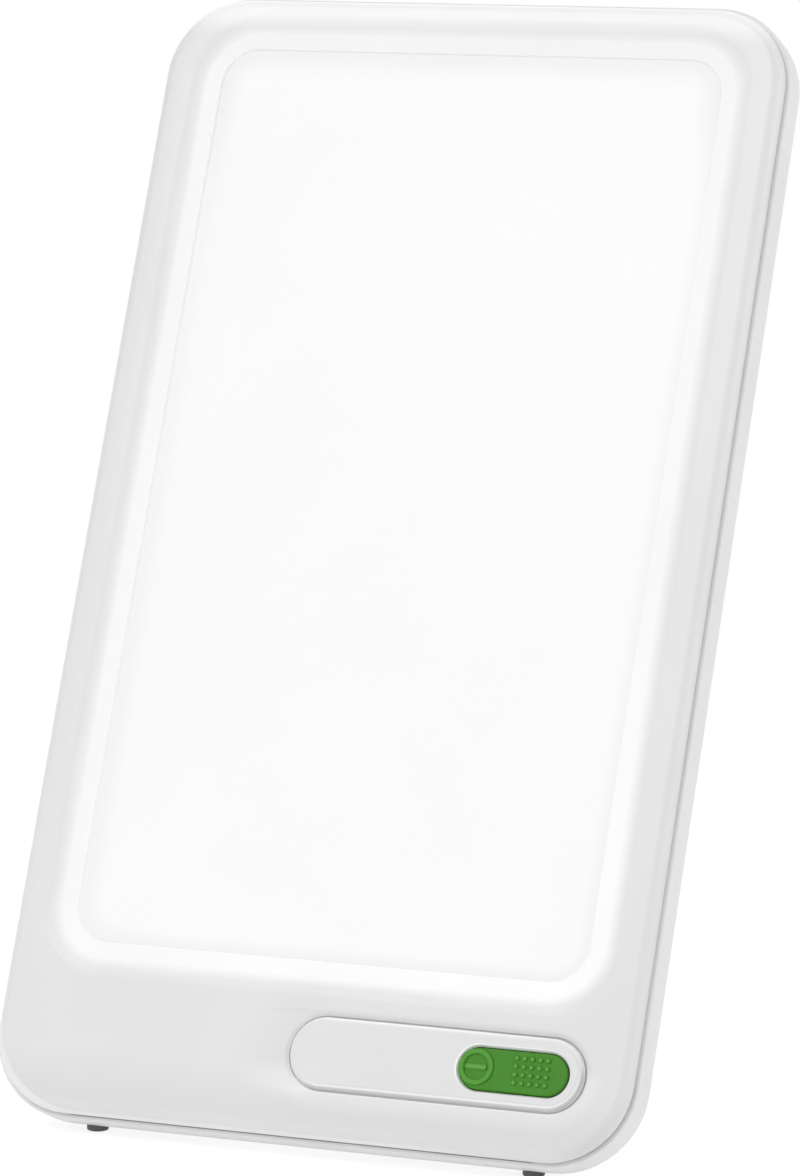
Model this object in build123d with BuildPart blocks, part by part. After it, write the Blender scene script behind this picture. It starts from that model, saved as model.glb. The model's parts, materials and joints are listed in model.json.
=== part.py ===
from build123d import *
from math import cos, radians, sin, tan
import os

os.makedirs("parts", exist_ok=True)

# A slim light panel that leans back on two small rubber feet and a fold-out leg.
# The lit front faces -Y, +X is to the right of someone looking at it, and +Z is up.
# On the panel, a height is measured up the slope from the bottom edge of the case, and a
# depth is measured from the joint between the two shells, positive towards the front.

# Stance
lean = 23.4
foot_drop = 1.5

# Rear housing
side_band = 20.4
top_band = 17.2
case_corner = 28.1
case_depth = 18.0
case_wall = 2.4
back_round = 10.0
rim_round = 0.5

# Front frame
rim_lip = 1.5
seam_gap = 0.4
face_height = 5.2
edge_round = 3.4
frame_wall = 2.6
skin_under = 2.2
tongue_drop = 2.0
tongue_gap = 0.2
chin_top = 46.0
chin_fall = 1.0

# Window in the front frame
window_width = 177.0
window_height = 304.5
window_bottom = 57.6
window_corner = 12.5
ledge_width = 5.4
ledge_height = 3.5
ledge_fall = 0.5
slope_width = 6.0

# Lit panel behind the window
window_gap = 0.15
field_sink = 0.6
field_round = 0.3
gasket_thickness = 0.5
gasket_inset = 1.0
flange_overlap = 3.5
flange_thickness = 2.0
film_thickness = 0.4
guide_thickness = 4.0
guide_side_inset = 1.5
guide_end_inset = 0.5
reflector_thickness = 0.4
plate_thickness = 1.2
sheet_corner = 3.0
strip_thickness = 1.2
strip_end_gap = 2.5
chip_length = 2.8
chip_height = 0.7
chip_width = 2.2
chip_end_gap = 3.8
chip_pitch = 8.4
chip_gap = 0.1
lip_thickness = 1.0
lip_end_gap = 8.0
tab_spacing = 120.0
tab_width = 14.0
tab_reach = 7.0
panel_boss_radius = 2.6

# Switch plate, key and what lies under them
island_width = 99.4
island_height = 23.2
island_margin = 5.6
island_rise = 28.2
island_top = 5.6
island_thickness = 1.8
island_edge = 0.8
island_gap = 0.55
dish_width = 3.2
dish_depth = 0.7
runout_length = 27.0
peg_radius = 1.25
peg_spacing_x = 36.0
peg_spacing_y = 12.0
peg_back = 21.5
peg_head = 2.1
peg_head_thickness = 0.8
peg_gap = 0.1
key_width = 36.2
key_height = 13.3
key_side = 40.0
key_top = 5.2
key_edge = 0.6
key_gap = 0.3
key_flange = 1.6
key_flange_thickness = 1.0
key_skirt = 2.5
key_post_radius = 1.6
key_travel = 0.8
key_free_play = 0.3
aperture_bevel = 1.3
aperture_bevel_depth = 0.6
hatch_margin = 1.3
mark_height = 0.35
mark_round = 0.25
mark_back = 12.3
mark_up = 0.4
mark_outer = 5.8
mark_inner = 4.1
mark_bar_length = 6.8
mark_bar_width = 1.1
dot_radius = 0.75
dot_pitch = 2.6
dot_columns = 5
dot_rows = 4
dots_ahead = 6.1
switch_board_width = 36.0
switch_board_height = 33.4
switch_board_thickness = 1.6
switch_board_face = -2.9
switch_board_rise = 28.2
switch_screw_side = 13.0
switch_screw_inset = 2.9
board_corner = 2.0
tact_size = 6.0
tact_height = 3.5
plunger_radius = 1.72
plunger_gap = 0.08
plunger_sink = 1.6
plunger_spare = 0.4
plunger_out = 1.0
pad_sheet = 0.8
pad_window_gap = 0.5
dome_spread = 12.0
dome_base = 3.6
dome_top = 2.4
dome_wall = 0.6

# Fasteners
screw_shank = 1.4
screw_head = 2.8
screw_head_thickness = 2.2
small_shank = 1.1
small_head = 2.1
small_head_thickness = 1.3
drive_width = 0.8
drive_length = 3.0
drive_depth = 1.0
thread_gap = 0.05
head_gap = 0.3

# Joint between the shells
boss_gap = 0.1
boss_low = 30.0
boss_top_inset = 28.4
boss_meet = -3.0
front_boss_radius = 3.2
rear_boss_radius = 4.4
counterbore_depth = 3.0
pilot_depth = 4.2
small_pilot_depth = 4.0
screw_end_gap = 0.4

# Back of the housing
recess_half = 35.0
recess_depth = 7.6
recess_wall = 2.0
recess_above = 7.5
recess_corner = 6.0
rib_thickness = 1.4
rib_height = 4.0
rib_above_tub = 32.5
rib_below_vents = 36.0
vent_length = 42.0
vent_width = 2.4
vent_pitch = 6.0
vent_count = 6
vent_side = 48.0
vent_below_top = 54.4
low_vent_rise = 94.0
low_vent_count = 4
low_vent_length = 30.0

# Fold-out leg
pivot_rise = 190.0
pivot_inset = 3.6
splay = 15.0
leg_half_width = 34.0
leg_tip_half_width = 28.0
leg_thickness = 6.0
leg_skin = 2.4
leg_tip_round = 8.0
leg_edge_round = 1.0
barrel_radius = 3.4
barrel_half_length = 34.6
heel_length = 5.0
heel_half_width = 28.0
stop_gap = 0.3
cell_width = 24.0
cell_length = 28.0
cell_rib = 2.4
cell_rows = 5
cell_start = 13.0
grip_length = 26.0
grip_width = 9.0
grip_depth = 0.8
grip_up = 14.0
pin_radius = 1.5
pin_gap = 0.08
pin_half_length = 43.6
pin_chamfer = 0.3
saddle_gap = 0.05
hinge_pocket_width = 9.0
hinge_pocket_below = 6.0
hinge_pocket_above = 9.5
hinge_block_wall = 2.0
cap_gap = 0.1
cap_sink = 0.3
cap_screw_up = 5.6
cap_screw_length = 6.4
pad_half_width = 18.0
pad_thickness = 1.6
stub_half_width = 12.0
stub_thickness = 2.0
stub_length = 3.0
stub_gap = 0.1

# Feet
foot_side = 35.0
foot_radius = 3.5
foot_sink = 1.2
foot_stem = 1.7
foot_barb = 2.6
foot_barb_height = 1.6
foot_gap = 0.1
foot_chamfer = 0.3

# Power inlet
jack_offset = 1.0
jack_rise = 30.0
jack_flange = 6.5
jack_flange_thickness = 1.2
jack_sink = 0.2
jack_body = 4.0
jack_length = 9.6
jack_socket = 2.85
jack_end_wall = 2.0
jack_land = 9.5
jack_land_height = 1.4
jack_recess_gap = 0.4
jack_hole_gap = 0.15
nut_flats = 12.0
nut_thickness = 2.0
contact_radius = 1.05
contact_base = 2.7
contact_base_thickness = 0.5
contact_setback = 0.8
contact_round = 0.4

# Control board
board_width = 46.0
board_height = 62.0
board_gap = 9.0
board_rise = 93.0
board_room = 5.7
board_thickness = 1.6
post_radius = 2.6
post_margin = 3.5
socket_width = 7.0
socket_depth = 4.5
socket_height = 3.0
socket_pitch = 13.0
switch_socket_rise = 19.0
switch_socket_inset = 0.5
lead_radius = 0.9
lead_gap = 0.05
lead_entry = 1.2
strip_end_inset = 4.0

# How the long lead wanders on its way up: share of the climb, sideways and forwards
led_lead_waves = (
    (0.13, -0.5, 0.3),
    (0.28, -1.5, 0.0),
    (0.47, -0.6, 0.4),
    (0.67, -1.2, 0.0),
    (0.84, -0.4, 0.3),
    (0.96, -0.2, -0.2),
)

# Parts on the control board: across, up, width, height and thickness, from its centre
board_chips = (
    (-2.0, -3.0, 7.0, 5.0, 1.5),
    (-13.0, -8.0, 5.0, 4.0, 1.2),
    (14.0, 13.0, 4.6, 2.8, 2.0),
    (14.0, 7.0, 4.6, 2.8, 2.0),
    (0.0, -18.0, 6.2, 2.7, 2.2),
)
drum_places = ((-11.0, 8.0), (2.0, 8.0))
drum_base = 8.0
drum_base_thickness = 0.8
drum_waist = 2.8
drum_cap = 3.7
drum_height = 3.4
can_places = ((14.0, -4.0), (14.0, -11.0))
can_radius = 2.5
can_height = 3.5
passive_width = 1.6
passive_height = 0.8
passive_thickness = 0.6
passive_pitch = 3.0
passive_columns = 4
passive_rows = 2
passive_place = (-3.0, -11.0)

# A cut starts this far outside what it cuts, and places closer than touch are the same place.
overcut = 1.0
touch = 0.01

lean_sin = sin(radians(lean))
lean_cos = cos(radians(lean))
case_width = window_width + 2 * (side_band + rim_lip)
case_height = window_bottom + window_height + top_band + rim_lip
case_side = case_width / 2
case_middle = case_height / 2
front_width = case_width - 2 * rim_lip
front_height = case_height - 2 * rim_lip
front_corner = case_corner - rim_lip

# The lowest point of the rounded back edge stands foot_drop above the floor, and the case is
# centred front to back on the origin.
round_rise = back_round * lean_cos - (case_depth - back_round) * lean_sin
lamp_lift = foot_drop + back_round - round_rise
chin_edge_rise = rim_lip + edge_round
chin_edge_depth = face_height - chin_fall - edge_round
front_reach = chin_edge_rise * lean_sin - chin_edge_depth * lean_cos - edge_round
top_round_rise = case_height - back_round
top_round_depth = back_round - case_depth
back_reach = top_round_rise * lean_sin - top_round_depth * lean_cos + back_round
lamp_shift = -(front_reach + back_reach) / 2

slope_up = Vector(0, lean_sin, lean_cos)
lamp = Plane(
    origin=(0, lamp_shift, lamp_lift), x_dir=(1, 0, 0), z_dir=(0, -lean_cos, lean_sin)
)


def panel(depth):
    """Plane across the panel: local x is X, local y climbs the slope."""
    return lamp.offset(depth)


def beside(x, rise=0.0, depth=0.0):
    """Plane seen from the side: local x climbs the slope, local y points to the front."""
    return Plane(
        origin=lamp.from_local_coords((x, rise, depth)), x_dir=slope_up, z_dir=(1, 0, 0)
    )


def upright(x, rise, depth=0.0):
    """Plane across the slope: local x is X, local y points to the front."""
    return Plane(
        origin=lamp.from_local_coords((x, rise, depth)), x_dir=(1, 0, 0), z_dir=-slope_up
    )


def depth_of(shape):
    return lamp.to_local_coords(shape.center()).Z


def rise_of(shape):
    return lamp.to_local_coords(shape.center()).Y


def discs(spots, depth, radius):
    """Round faces at several places on the panel, for posts and holes along its depth."""
    with BuildSketch(panel(depth)) as faces:
        with Locations(*spots):
            Circle(radius)
    return faces.sketch


boss_x = window_width / 2 + flange_overlap + boss_gap + rear_boss_radius
boss_rises = (boss_low, case_middle, case_height - boss_top_inset)
boss_spots = [(side * boss_x, rise) for side in (-1, 1) for rise in boss_rises]
window_rise = window_bottom + window_height / 2
key_x = case_side - key_side
island_x = key_x + key_width / 2 + island_margin - island_width / 2
island_spot = (island_x, island_rise)
key_spot = (key_x, island_rise)

# Depths of the lit panel's layers, from the front
gasket_front = skin_under
flange_front = gasket_front - gasket_thickness
flange_back = flange_front - flange_thickness
film_back = flange_back - film_thickness
guide_back = film_back - guide_thickness
reflector_back = guide_back - reflector_thickness
plate_back = reflector_back - plate_thickness
flange_width = window_width + 2 * flange_overlap
flange_height = window_height + 2 * flange_overlap
guide_width = flange_width - 2 * guide_side_inset
guide_height = flange_height - 2 * guide_end_inset
strip_length = guide_width - 2 * strip_end_gap
chip_count = int((strip_length - 2 * chip_end_gap) / chip_pitch)
lip_length = strip_length - 2 * lip_end_gap
guide_bottom = window_rise - guide_height / 2
guide_top = window_rise + guide_height / 2
strip_offset = chip_gap + chip_height + strip_thickness
plate_bottom = guide_bottom - strip_offset - lip_thickness
plate_top = guide_top + strip_offset + lip_thickness
tab_reaches = (plate_bottom - tab_reach / 2, plate_top + tab_reach / 2)
tab_spots = [(side * tab_spacing / 2, rise) for side in (-1, 1) for rise in tab_reaches]

# Switch stack
island_floor = island_top - island_thickness
hatch_width = key_width + 2 * key_flange + 2 * hatch_margin
hatch_height = key_height + 2 * key_flange + 2 * hatch_margin
switch_screw_high = switch_board_rise + switch_board_height / 2 - switch_screw_inset
switch_spots = [
    (key_x - switch_screw_side, switch_screw_high),
    (key_x + switch_screw_side, switch_screw_high),
    (key_x, switch_board_rise - switch_board_height / 2 + switch_screw_inset),
]
tact_top = switch_board_face + tact_height
post_bottom = tact_top + plunger_out + key_free_play
mark_rise = island_rise + mark_up

# FRONT FRAME: a moulded shell with a crowned rim, a soft step to the window and a deep chin.
window_edge = RectangleRounded(window_width, window_height, window_corner)
window_path = (panel(ledge_height) * Pos(0, window_rise) * window_edge).wire()
island_path = (panel(island_top) * Pos(*island_spot) * SlotOverall(island_width, island_height)).wire()


def section_plane(path):
    """Plane across a path at its start: local x points outwards, local y to the front."""
    along = path % 0
    front = lamp.z_dir
    outwards = along.cross(front)
    centre = path.center()
    if (path @ 0 - centre).dot(outwards) < 0:
        outwards = -outwards
    return Plane(origin=path @ 0, x_dir=outwards, z_dir=outwards.cross(front))


with BuildPart() as front_frame:
    with BuildSketch(panel(seam_gap)):
        with Locations((0, case_middle)):
            RectangleRounded(front_width, front_height, front_corner)
    extrude(amount=face_height - seam_gap)
    with BuildSketch(beside(0)):
        with BuildLine():
            crown = TangentArc(
                (chin_top, face_height), (0, face_height - chin_fall), tangent=(-1, 0)
            )
            Polyline(crown @ 1, (0, 2 * face_height), (chin_top, 2 * face_height), crown @ 0)
        make_face()
    extrude(amount=case_width / 2, both=True, mode=Mode.SUBTRACT)
    face_edges = [
        edge
        for edge in front_frame.edges()
        if depth_of(edge) > face_height / 2
        and not (edge.geom_type == GeomType.LINE and abs(rise_of(edge) - chin_top) < touch)
    ]
    fillet(face_edges, edge_round)
    # The ledge falls a little towards the window, and a soft step climbs from it to the face.
    step_foot = (ledge_width, 0)
    step_rise = face_height - ledge_height
    step_head = (ledge_width + slope_width, step_rise)
    with BuildSketch(section_plane(window_path)):
        with BuildLine():
            Polyline((-overcut, -ledge_fall), (0, -ledge_fall), step_foot)
            Spline(step_foot, step_head, tangents=((ledge_width, ledge_fall), (1, 0)))
            Polyline(
                step_head,
                (step_head[0], step_rise + overcut),
                (-overcut, step_rise + overcut),
                (-overcut, -ledge_fall),
            )
        make_face()
    sweep(path=window_path, mode=Mode.SUBTRACT)
    with BuildSketch(panel(seam_gap)):
        with Locations((0, window_rise)):
            RectangleRounded(window_width, window_height, window_corner)
    extrude(amount=2 * face_height, mode=Mode.SUBTRACT)
    # A shallow dish sets off the switch plate.
    with BuildSketch(section_plane(island_path)):
        with BuildLine():
            dish_foot = (0, face_height - dish_depth - island_top)
            dish_head = (dish_width, face_height - island_top)
            dish_middle = (dish_width / 2, face_height - dish_depth / 2 - island_top)
            Line((-overcut, dish_foot[1]), dish_foot)
            TangentArc(dish_foot, dish_middle, tangent=(1, 0))
            TangentArc(dish_head, dish_middle, tangent=(-1, 0))
            Polyline(dish_head, (dish_width, overcut), (-overcut, overcut), (-overcut, dish_foot[1]))
        make_face()
    sweep(path=island_path, mode=Mode.SUBTRACT)
    # Beyond the plate's inner end the dish runs on and climbs out of the face.
    runout_x = island_x - (island_width - island_height) / 2
    dish_half = island_height / 2
    with BuildSketch(beside(runout_x, island_rise, face_height - dish_depth)):
        with BuildLine():
            Line((-dish_half, 0), (dish_half, 0))
            for side in (-1, 1):
                slope_foot = (side * dish_half, 0)
                slope_middle = (side * (dish_half + dish_width / 2), dish_depth / 2)
                slope_head = (side * (dish_half + dish_width), dish_depth)
                TangentArc(slope_foot, slope_middle, tangent=(side, 0))
                TangentArc(slope_head, slope_middle, tangent=(-side, 0))
                Polyline(slope_head, (slope_head[0], dish_depth + overcut), (0, dish_depth + overcut))
        make_face()
    runout = Vector(-runout_length, 0, 0) + lamp.z_dir * dish_depth
    extrude(amount=runout.length, dir=runout, mode=Mode.SUBTRACT)
    with BuildSketch(panel(island_floor)):
        with Locations(island_spot):
            SlotOverall(island_width + 2 * island_gap, island_height + 2 * island_gap)
    extrude(amount=face_height, mode=Mode.SUBTRACT)
    # Hollow from behind, with a tongue that drops inside the rear housing.
    with BuildSketch(panel(0)):
        with Locations((0, case_middle)):
            RectangleRounded(
                front_width - 2 * frame_wall, front_height - 2 * frame_wall, front_corner - frame_wall
            )
    extrude(amount=skin_under, mode=Mode.SUBTRACT)
    tongue_inset = case_wall + tongue_gap
    with BuildSketch(panel(-tongue_drop)):
        with Locations((0, case_middle)):
            RectangleRounded(
                case_width - 2 * tongue_inset, case_height - 2 * tongue_inset, case_corner - tongue_inset
            )
            RectangleRounded(
                front_width - 2 * frame_wall,
                front_height - 2 * frame_wall,
                front_corner - frame_wall,
                mode=Mode.SUBTRACT,
            )
    extrude(amount=tongue_drop + skin_under)
    extrude(discs(boss_spots, boss_meet, front_boss_radius), amount=skin_under - boss_meet)
    extrude(discs(tab_spots, reflector_back, panel_boss_radius), amount=skin_under - reflector_back)
    extrude(discs(switch_spots, switch_board_face, small_head), amount=skin_under - switch_board_face)
    extrude(
        discs(boss_spots, boss_meet, screw_shank + thread_gap), amount=pilot_depth, mode=Mode.SUBTRACT
    )
    extrude(
        discs(tab_spots, reflector_back, small_shank + thread_gap),
        amount=small_pilot_depth,
        mode=Mode.SUBTRACT,
    )
    extrude(
        discs(switch_spots, switch_board_face, small_shank + thread_gap),
        amount=small_pilot_depth,
        mode=Mode.SUBTRACT,
    )
    with BuildSketch(panel(0)):
        with Locations(key_spot):
            SlotOverall(hatch_width, hatch_height)
        with Locations((island_x - peg_back, island_rise)):
            with GridLocations(peg_spacing_x, peg_spacing_y, 2, 2):
                Circle(peg_radius + peg_gap)
    extrude(amount=face_height, mode=Mode.SUBTRACT)
front_frame.part.label = "front_frame"
export_step(front_frame.part, "parts/front_frame.step")

# DIFFUSER PANEL: an opal cover with a raised field in the window and a flange behind the frame.
with BuildPart() as diffuser_panel:
    with BuildSketch(panel(flange_back)):
        with Locations((0, window_rise)):
            RectangleRounded(flange_width, flange_height, window_corner)
    extrude(amount=flange_thickness)
    with BuildSketch(panel(flange_front)):
        with Locations((0, window_rise)):
            RectangleRounded(
                window_width - 2 * window_gap,
                window_height - 2 * window_gap,
                window_corner - window_gap,
            )
    extrude(amount=ledge_height - ledge_fall - field_sink - flange_front)
    fillet(diffuser_panel.faces().sort_by(Axis((0, 0, 0), lamp.z_dir))[-1].edges(), field_round)
diffuser_panel.part.label = "diffuser_panel"
export_step(diffuser_panel.part, "parts/diffuser_panel.step")

# PANEL GASKET: a thin ring between the frame's ledge and the diffuser's flange.
with BuildPart() as panel_gasket:
    with BuildSketch(panel(flange_front)):
        with Locations((0, window_rise)):
            RectangleRounded(flange_width, flange_height, window_corner)
            RectangleRounded(
                window_width + 2 * gasket_inset,
                window_height + 2 * gasket_inset,
                window_corner,
                mode=Mode.SUBTRACT,
            )
    extrude(amount=gasket_thickness)
panel_gasket.part.label = "panel_gasket"
export_step(panel_gasket.part, "parts/panel_gasket.step")


def sheet(back, thickness):
    """One flat layer of the lit panel."""
    with BuildPart() as layer:
        with BuildSketch(panel(back)):
            with Locations((0, window_rise)):
                RectangleRounded(guide_width, guide_height, sheet_corner)
        extrude(amount=thickness)
    return layer.part


# The film, the light guide and the reflector lie on each other behind the diffuser.
for name, back, thickness in (
    ("optical_film", film_back, film_thickness),
    ("light_guide", guide_back, guide_thickness),
    ("reflector_sheet", reflector_back, reflector_thickness),
):
    layer_part = sheet(back, thickness)
    layer_part.label = name
    export_step(layer_part, f"parts/{name}.step")

# LED STRIPS: two narrow boards on edge, one along each end of the light guide.
strip_ends = (
    (guide_bottom - chip_gap - chip_height - strip_thickness, 1),
    (guide_top + chip_gap + chip_height, -1),
)
strip_middle_depth = guide_back + guide_thickness / 2
with BuildPart() as led_strips:
    for strip_start, _ in strip_ends:
        with BuildSketch(panel(guide_back)):
            with Locations((0, strip_start + strip_thickness / 2)):
                Rectangle(strip_length, strip_thickness)
        extrude(amount=guide_thickness)
led_strips.part.label = "led_strips"
export_step(led_strips.part, "parts/led_strips.step")

# LED CHIPS: a row on each strip, facing into the light guide's edge.
chip_rises = (guide_bottom - chip_gap - chip_height / 2, guide_top + chip_gap + chip_height / 2)
with BuildPart() as led_chips:
    with BuildSketch(panel(strip_middle_depth - chip_width / 2)):
        with Locations(*[(0, rise) for rise in chip_rises]):
            with GridLocations(chip_pitch, 1, chip_count, 1):
                Rectangle(chip_length, chip_height)
    extrude(amount=chip_width)
led_chips.part.label = "led_chips"
export_step(led_chips.part, "parts/led_chips.step")

# BACK PLATE: an aluminium tray with a lip behind each strip and four screw tabs.
with BuildPart() as back_plate:
    with BuildSketch(panel(plate_back)):
        with Locations((0, window_rise)):
            Rectangle(guide_width, plate_top - plate_bottom)
        for rise in tab_reaches:
            with Locations((0, rise)):
                with GridLocations(tab_spacing, 1, 2, 1):
                    Rectangle(tab_width, tab_reach)
    extrude(amount=plate_thickness)
    fillet(
        back_plate.edges().filter_by(Axis((0, 0, 0), lamp.z_dir)).filter_by(
            lambda edge: abs(rise_of(edge) - window_rise) > (plate_top - plate_bottom + tab_reach) / 2
        ),
        sheet_corner,
    )
    with BuildSketch(panel(reflector_back)):
        for lip_rise in (plate_bottom + lip_thickness / 2, plate_top - lip_thickness / 2):
            with Locations((0, lip_rise)):
                Rectangle(lip_length, lip_thickness)
    extrude(amount=film_back - reflector_back)
    extrude(
        discs(tab_spots, plate_back, small_shank + head_gap),
        amount=plate_thickness,
        mode=Mode.SUBTRACT,
    )
back_plate.part.label = "back_plate"
export_step(back_plate.part, "parts/back_plate.step")


def screws(spots, seat, towards, length, shank, head, head_thickness):
    """Pan-head screws at several spots, driven along the panel's depth from their seat."""
    with BuildPart() as group:
        extrude(discs(spots, seat, head), amount=-towards * head_thickness)
        rims = group.edges().filter_by(
            lambda edge: abs(depth_of(edge) - seat + towards * head_thickness) < touch
        )
        fillet(rims, head_thickness / 3)
        extrude(discs(spots, seat, shank), amount=towards * length)
        with BuildSketch(panel(seat - towards * head_thickness)):
            with Locations(*spots):
                Rectangle(drive_length * head / screw_head, drive_width)
                Rectangle(drive_width, drive_length * head / screw_head)
        extrude(amount=towards * drive_depth * head / screw_head, mode=Mode.SUBTRACT)
    return group.part


# The lit panel's screws go forwards into the front frame, and so do the switch board's.
panel_screws = screws(
    tab_spots, plate_back, 1, plate_thickness + small_pilot_depth - screw_end_gap, small_shank, small_head,
    small_head_thickness,
)
panel_screws.label = "panel_screws"
export_step(panel_screws, "parts/panel_screws.step")

# SWITCH PLATE: a capsule that sits proud in its dish, staked by four pegs.
with BuildPart() as switch_plate:
    with BuildSketch(panel(island_floor)):
        with Locations(island_spot):
            SlotOverall(island_width, island_height)
    extrude(amount=island_thickness)
    fillet(switch_plate.faces().sort_by(Axis((0, 0, 0), lamp.z_dir))[-1].edges(), island_edge)
    with BuildSketch(panel(island_floor)):
        with Locations(key_spot):
            SlotOverall(key_width + 2 * key_gap, key_height + 2 * key_gap)
    extrude(amount=island_thickness, mode=Mode.SUBTRACT)
    aperture_edges = (
        switch_plate.faces().sort_by(Axis((0, 0, 0), lamp.z_dir))[-1].inner_wires()[0].edges()
    )
    chamfer(aperture_edges, aperture_bevel_depth, aperture_bevel)
    with BuildSketch(panel(island_floor)):
        with Locations((island_x - peg_back, island_rise)):
            with GridLocations(peg_spacing_x, peg_spacing_y, 2, 2):
                Circle(peg_radius)
    extrude(amount=skin_under - peg_head_thickness - island_floor)
    with BuildSketch(panel(skin_under - peg_head_thickness)):
        with Locations((island_x - peg_back, island_rise)):
            with GridLocations(peg_spacing_x, peg_spacing_y, 2, 2):
                Circle(peg_head)
    extrude(amount=peg_head_thickness)
switch_plate.part.label = "switch_plate"
export_step(switch_plate.part, "parts/switch_plate.step")

# POWER BUTTON: a capsule key with a ring and bar at one end and rows of dots at the other.
with BuildPart() as power_button:
    with BuildSketch(panel(key_skirt)):
        with Locations(key_spot):
            SlotOverall(key_width, key_height)
    extrude(amount=key_top - key_skirt)
    fillet(power_button.faces().sort_by(Axis((0, 0, 0), lamp.z_dir))[-1].edges(), key_edge)
    with BuildSketch(panel(key_skirt)):
        with Locations(key_spot):
            SlotOverall(key_width + 2 * key_flange, key_height + 2 * key_flange)
    extrude(amount=key_flange_thickness)
    with BuildSketch(panel(key_top)):
        with Locations((key_x - mark_back, mark_rise)):
            Circle(mark_outer)
            Circle(mark_inner, mode=Mode.SUBTRACT)
            Rectangle(mark_bar_length, mark_bar_width)
        with Locations((key_x + dots_ahead, mark_rise)):
            with GridLocations(dot_pitch, dot_pitch, dot_columns, dot_rows):
                Circle(dot_radius)
    extrude(amount=mark_height)
    mark_edges = power_button.edges().filter_by(
        lambda edge: depth_of(edge) > key_top + mark_height - touch
    )
    fillet(mark_edges, mark_round)
    extrude(discs([key_spot], post_bottom, key_post_radius), amount=key_skirt - post_bottom)
power_button.part.label = "power_button"
export_step(power_button.part, "parts/power_button.step")

# KEY RETURN PAD: a silicone sheet on the switch board, with a hollow dome under each end.
dome_spots = [(key_x + side * dome_spread, island_rise) for side in (-1, 1)]
dome_crown = key_skirt - key_free_play
with BuildPart() as key_return_pad:
    with BuildSketch(panel(switch_board_face)):
        with Locations(key_spot):
            SlotOverall(switch_board_width, key_height)
            Rectangle(tact_size + 2 * pad_window_gap, tact_size + 2 * pad_window_gap, mode=Mode.SUBTRACT)
    extrude(amount=pad_sheet)
    for spot in dome_spots:
        with BuildSketch(upright(*spot)):
            Polygon(
                (0, switch_board_face),
                (dome_base, switch_board_face),
                (dome_base, switch_board_face + pad_sheet),
                (dome_top, dome_crown),
                (0, dome_crown),
                align=None,
            )
        revolve(axis=Axis(upright(*spot).origin, lamp.z_dir))
    for spot in dome_spots:
        with BuildSketch(upright(*spot)):
            Polygon(
                (0, switch_board_face),
                (dome_base - dome_wall, switch_board_face),
                (dome_base - dome_wall, switch_board_face + pad_sheet),
                (dome_top - dome_wall, dome_crown - dome_wall),
                (0, dome_crown - dome_wall),
                align=None,
            )
        revolve(axis=Axis(upright(*spot).origin, lamp.z_dir), mode=Mode.SUBTRACT)
key_return_pad.part.label = "key_return_pad"
export_step(key_return_pad.part, "parts/key_return_pad.step")

# SWITCH BOARD: a small board on three bosses behind the chin.
with BuildPart() as switch_board:
    with BuildSketch(panel(switch_board_face - switch_board_thickness)):
        with Locations((key_x, switch_board_rise)):
            RectangleRounded(switch_board_width, switch_board_height, board_corner)
    extrude(amount=switch_board_thickness)
    extrude(
        discs(switch_spots, switch_board_face - switch_board_thickness, small_shank + head_gap),
        amount=switch_board_thickness,
        mode=Mode.SUBTRACT,
    )
switch_board.part.label = "switch_board"
export_step(switch_board.part, "parts/switch_board.step")

switch_screws = screws(
    switch_spots, switch_board_face - switch_board_thickness, 1,
    switch_board_thickness + small_pilot_depth - screw_end_gap,
    small_shank, small_head, small_head_thickness,
)
switch_screws.label = "switch_screws"
export_step(switch_screws, "parts/switch_screws.step")

# TACT SWITCH and its plunger
with BuildPart() as tact_switch:
    with BuildSketch(panel(switch_board_face)):
        with Locations(key_spot):
            Rectangle(tact_size, tact_size)
    extrude(amount=tact_height)
    extrude(
        discs([key_spot], tact_top, plunger_radius + plunger_gap),
        amount=-plunger_sink - key_travel - plunger_spare,
        mode=Mode.SUBTRACT,
    )
tact_switch.part.label = "tact_switch"
export_step(tact_switch.part, "parts/tact_switch.step")

with BuildPart() as tact_plunger:
    extrude(
        discs([key_spot], tact_top - plunger_sink, plunger_radius),
        amount=post_bottom - key_free_play - tact_top + plunger_sink,
    )
tact_plunger.part.label = "tact_plunger"
export_step(tact_plunger.part, "parts/tact_plunger.step")

# Places on the back of the housing
floor_depth = case_wall - case_depth
recess_top = pivot_rise + recess_above
recess_floor = recess_depth - case_depth
pivot_depth = pivot_inset - case_depth
board_back = plate_back - board_room
tub_half = recess_half + recess_wall
tub_depth = recess_floor + recess_wall
tub_top = recess_top + recess_wall
board_x = -tub_half - board_gap - board_width / 2
jack_x = board_x - jack_offset
foot_x = case_side - foot_side
vent_x = case_side - vent_side
vent_rise = case_height - vent_below_top
hinge_pocket_centre = recess_half + hinge_pocket_width / 2
hinge_pocket_low = pivot_rise - hinge_pocket_below
hinge_pocket_high = pivot_rise + hinge_pocket_above
hinge_block_x = recess_half + hinge_pocket_width + hinge_block_wall
hinge_block_low = hinge_pocket_low - hinge_block_wall
hinge_block_high = hinge_pocket_high + hinge_block_wall
cap_screw_spots = [(side * hinge_pocket_centre, pivot_rise + cap_screw_up) for side in (-1, 1)]
jack_spot = (jack_x, jack_rise)
post_spots = [
    (
        board_x + side * (board_width / 2 - post_margin),
        board_rise + end * (board_height / 2 - post_margin),
    )
    for side in (-1, 1)
    for end in (-1, 1)
]
# The feet stand under the lowest line of the rounded back edge.
foot_y = lamp.from_local_coords((0, back_round, back_round - case_depth)).Y
foot_seat = foot_drop + foot_sink

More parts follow.
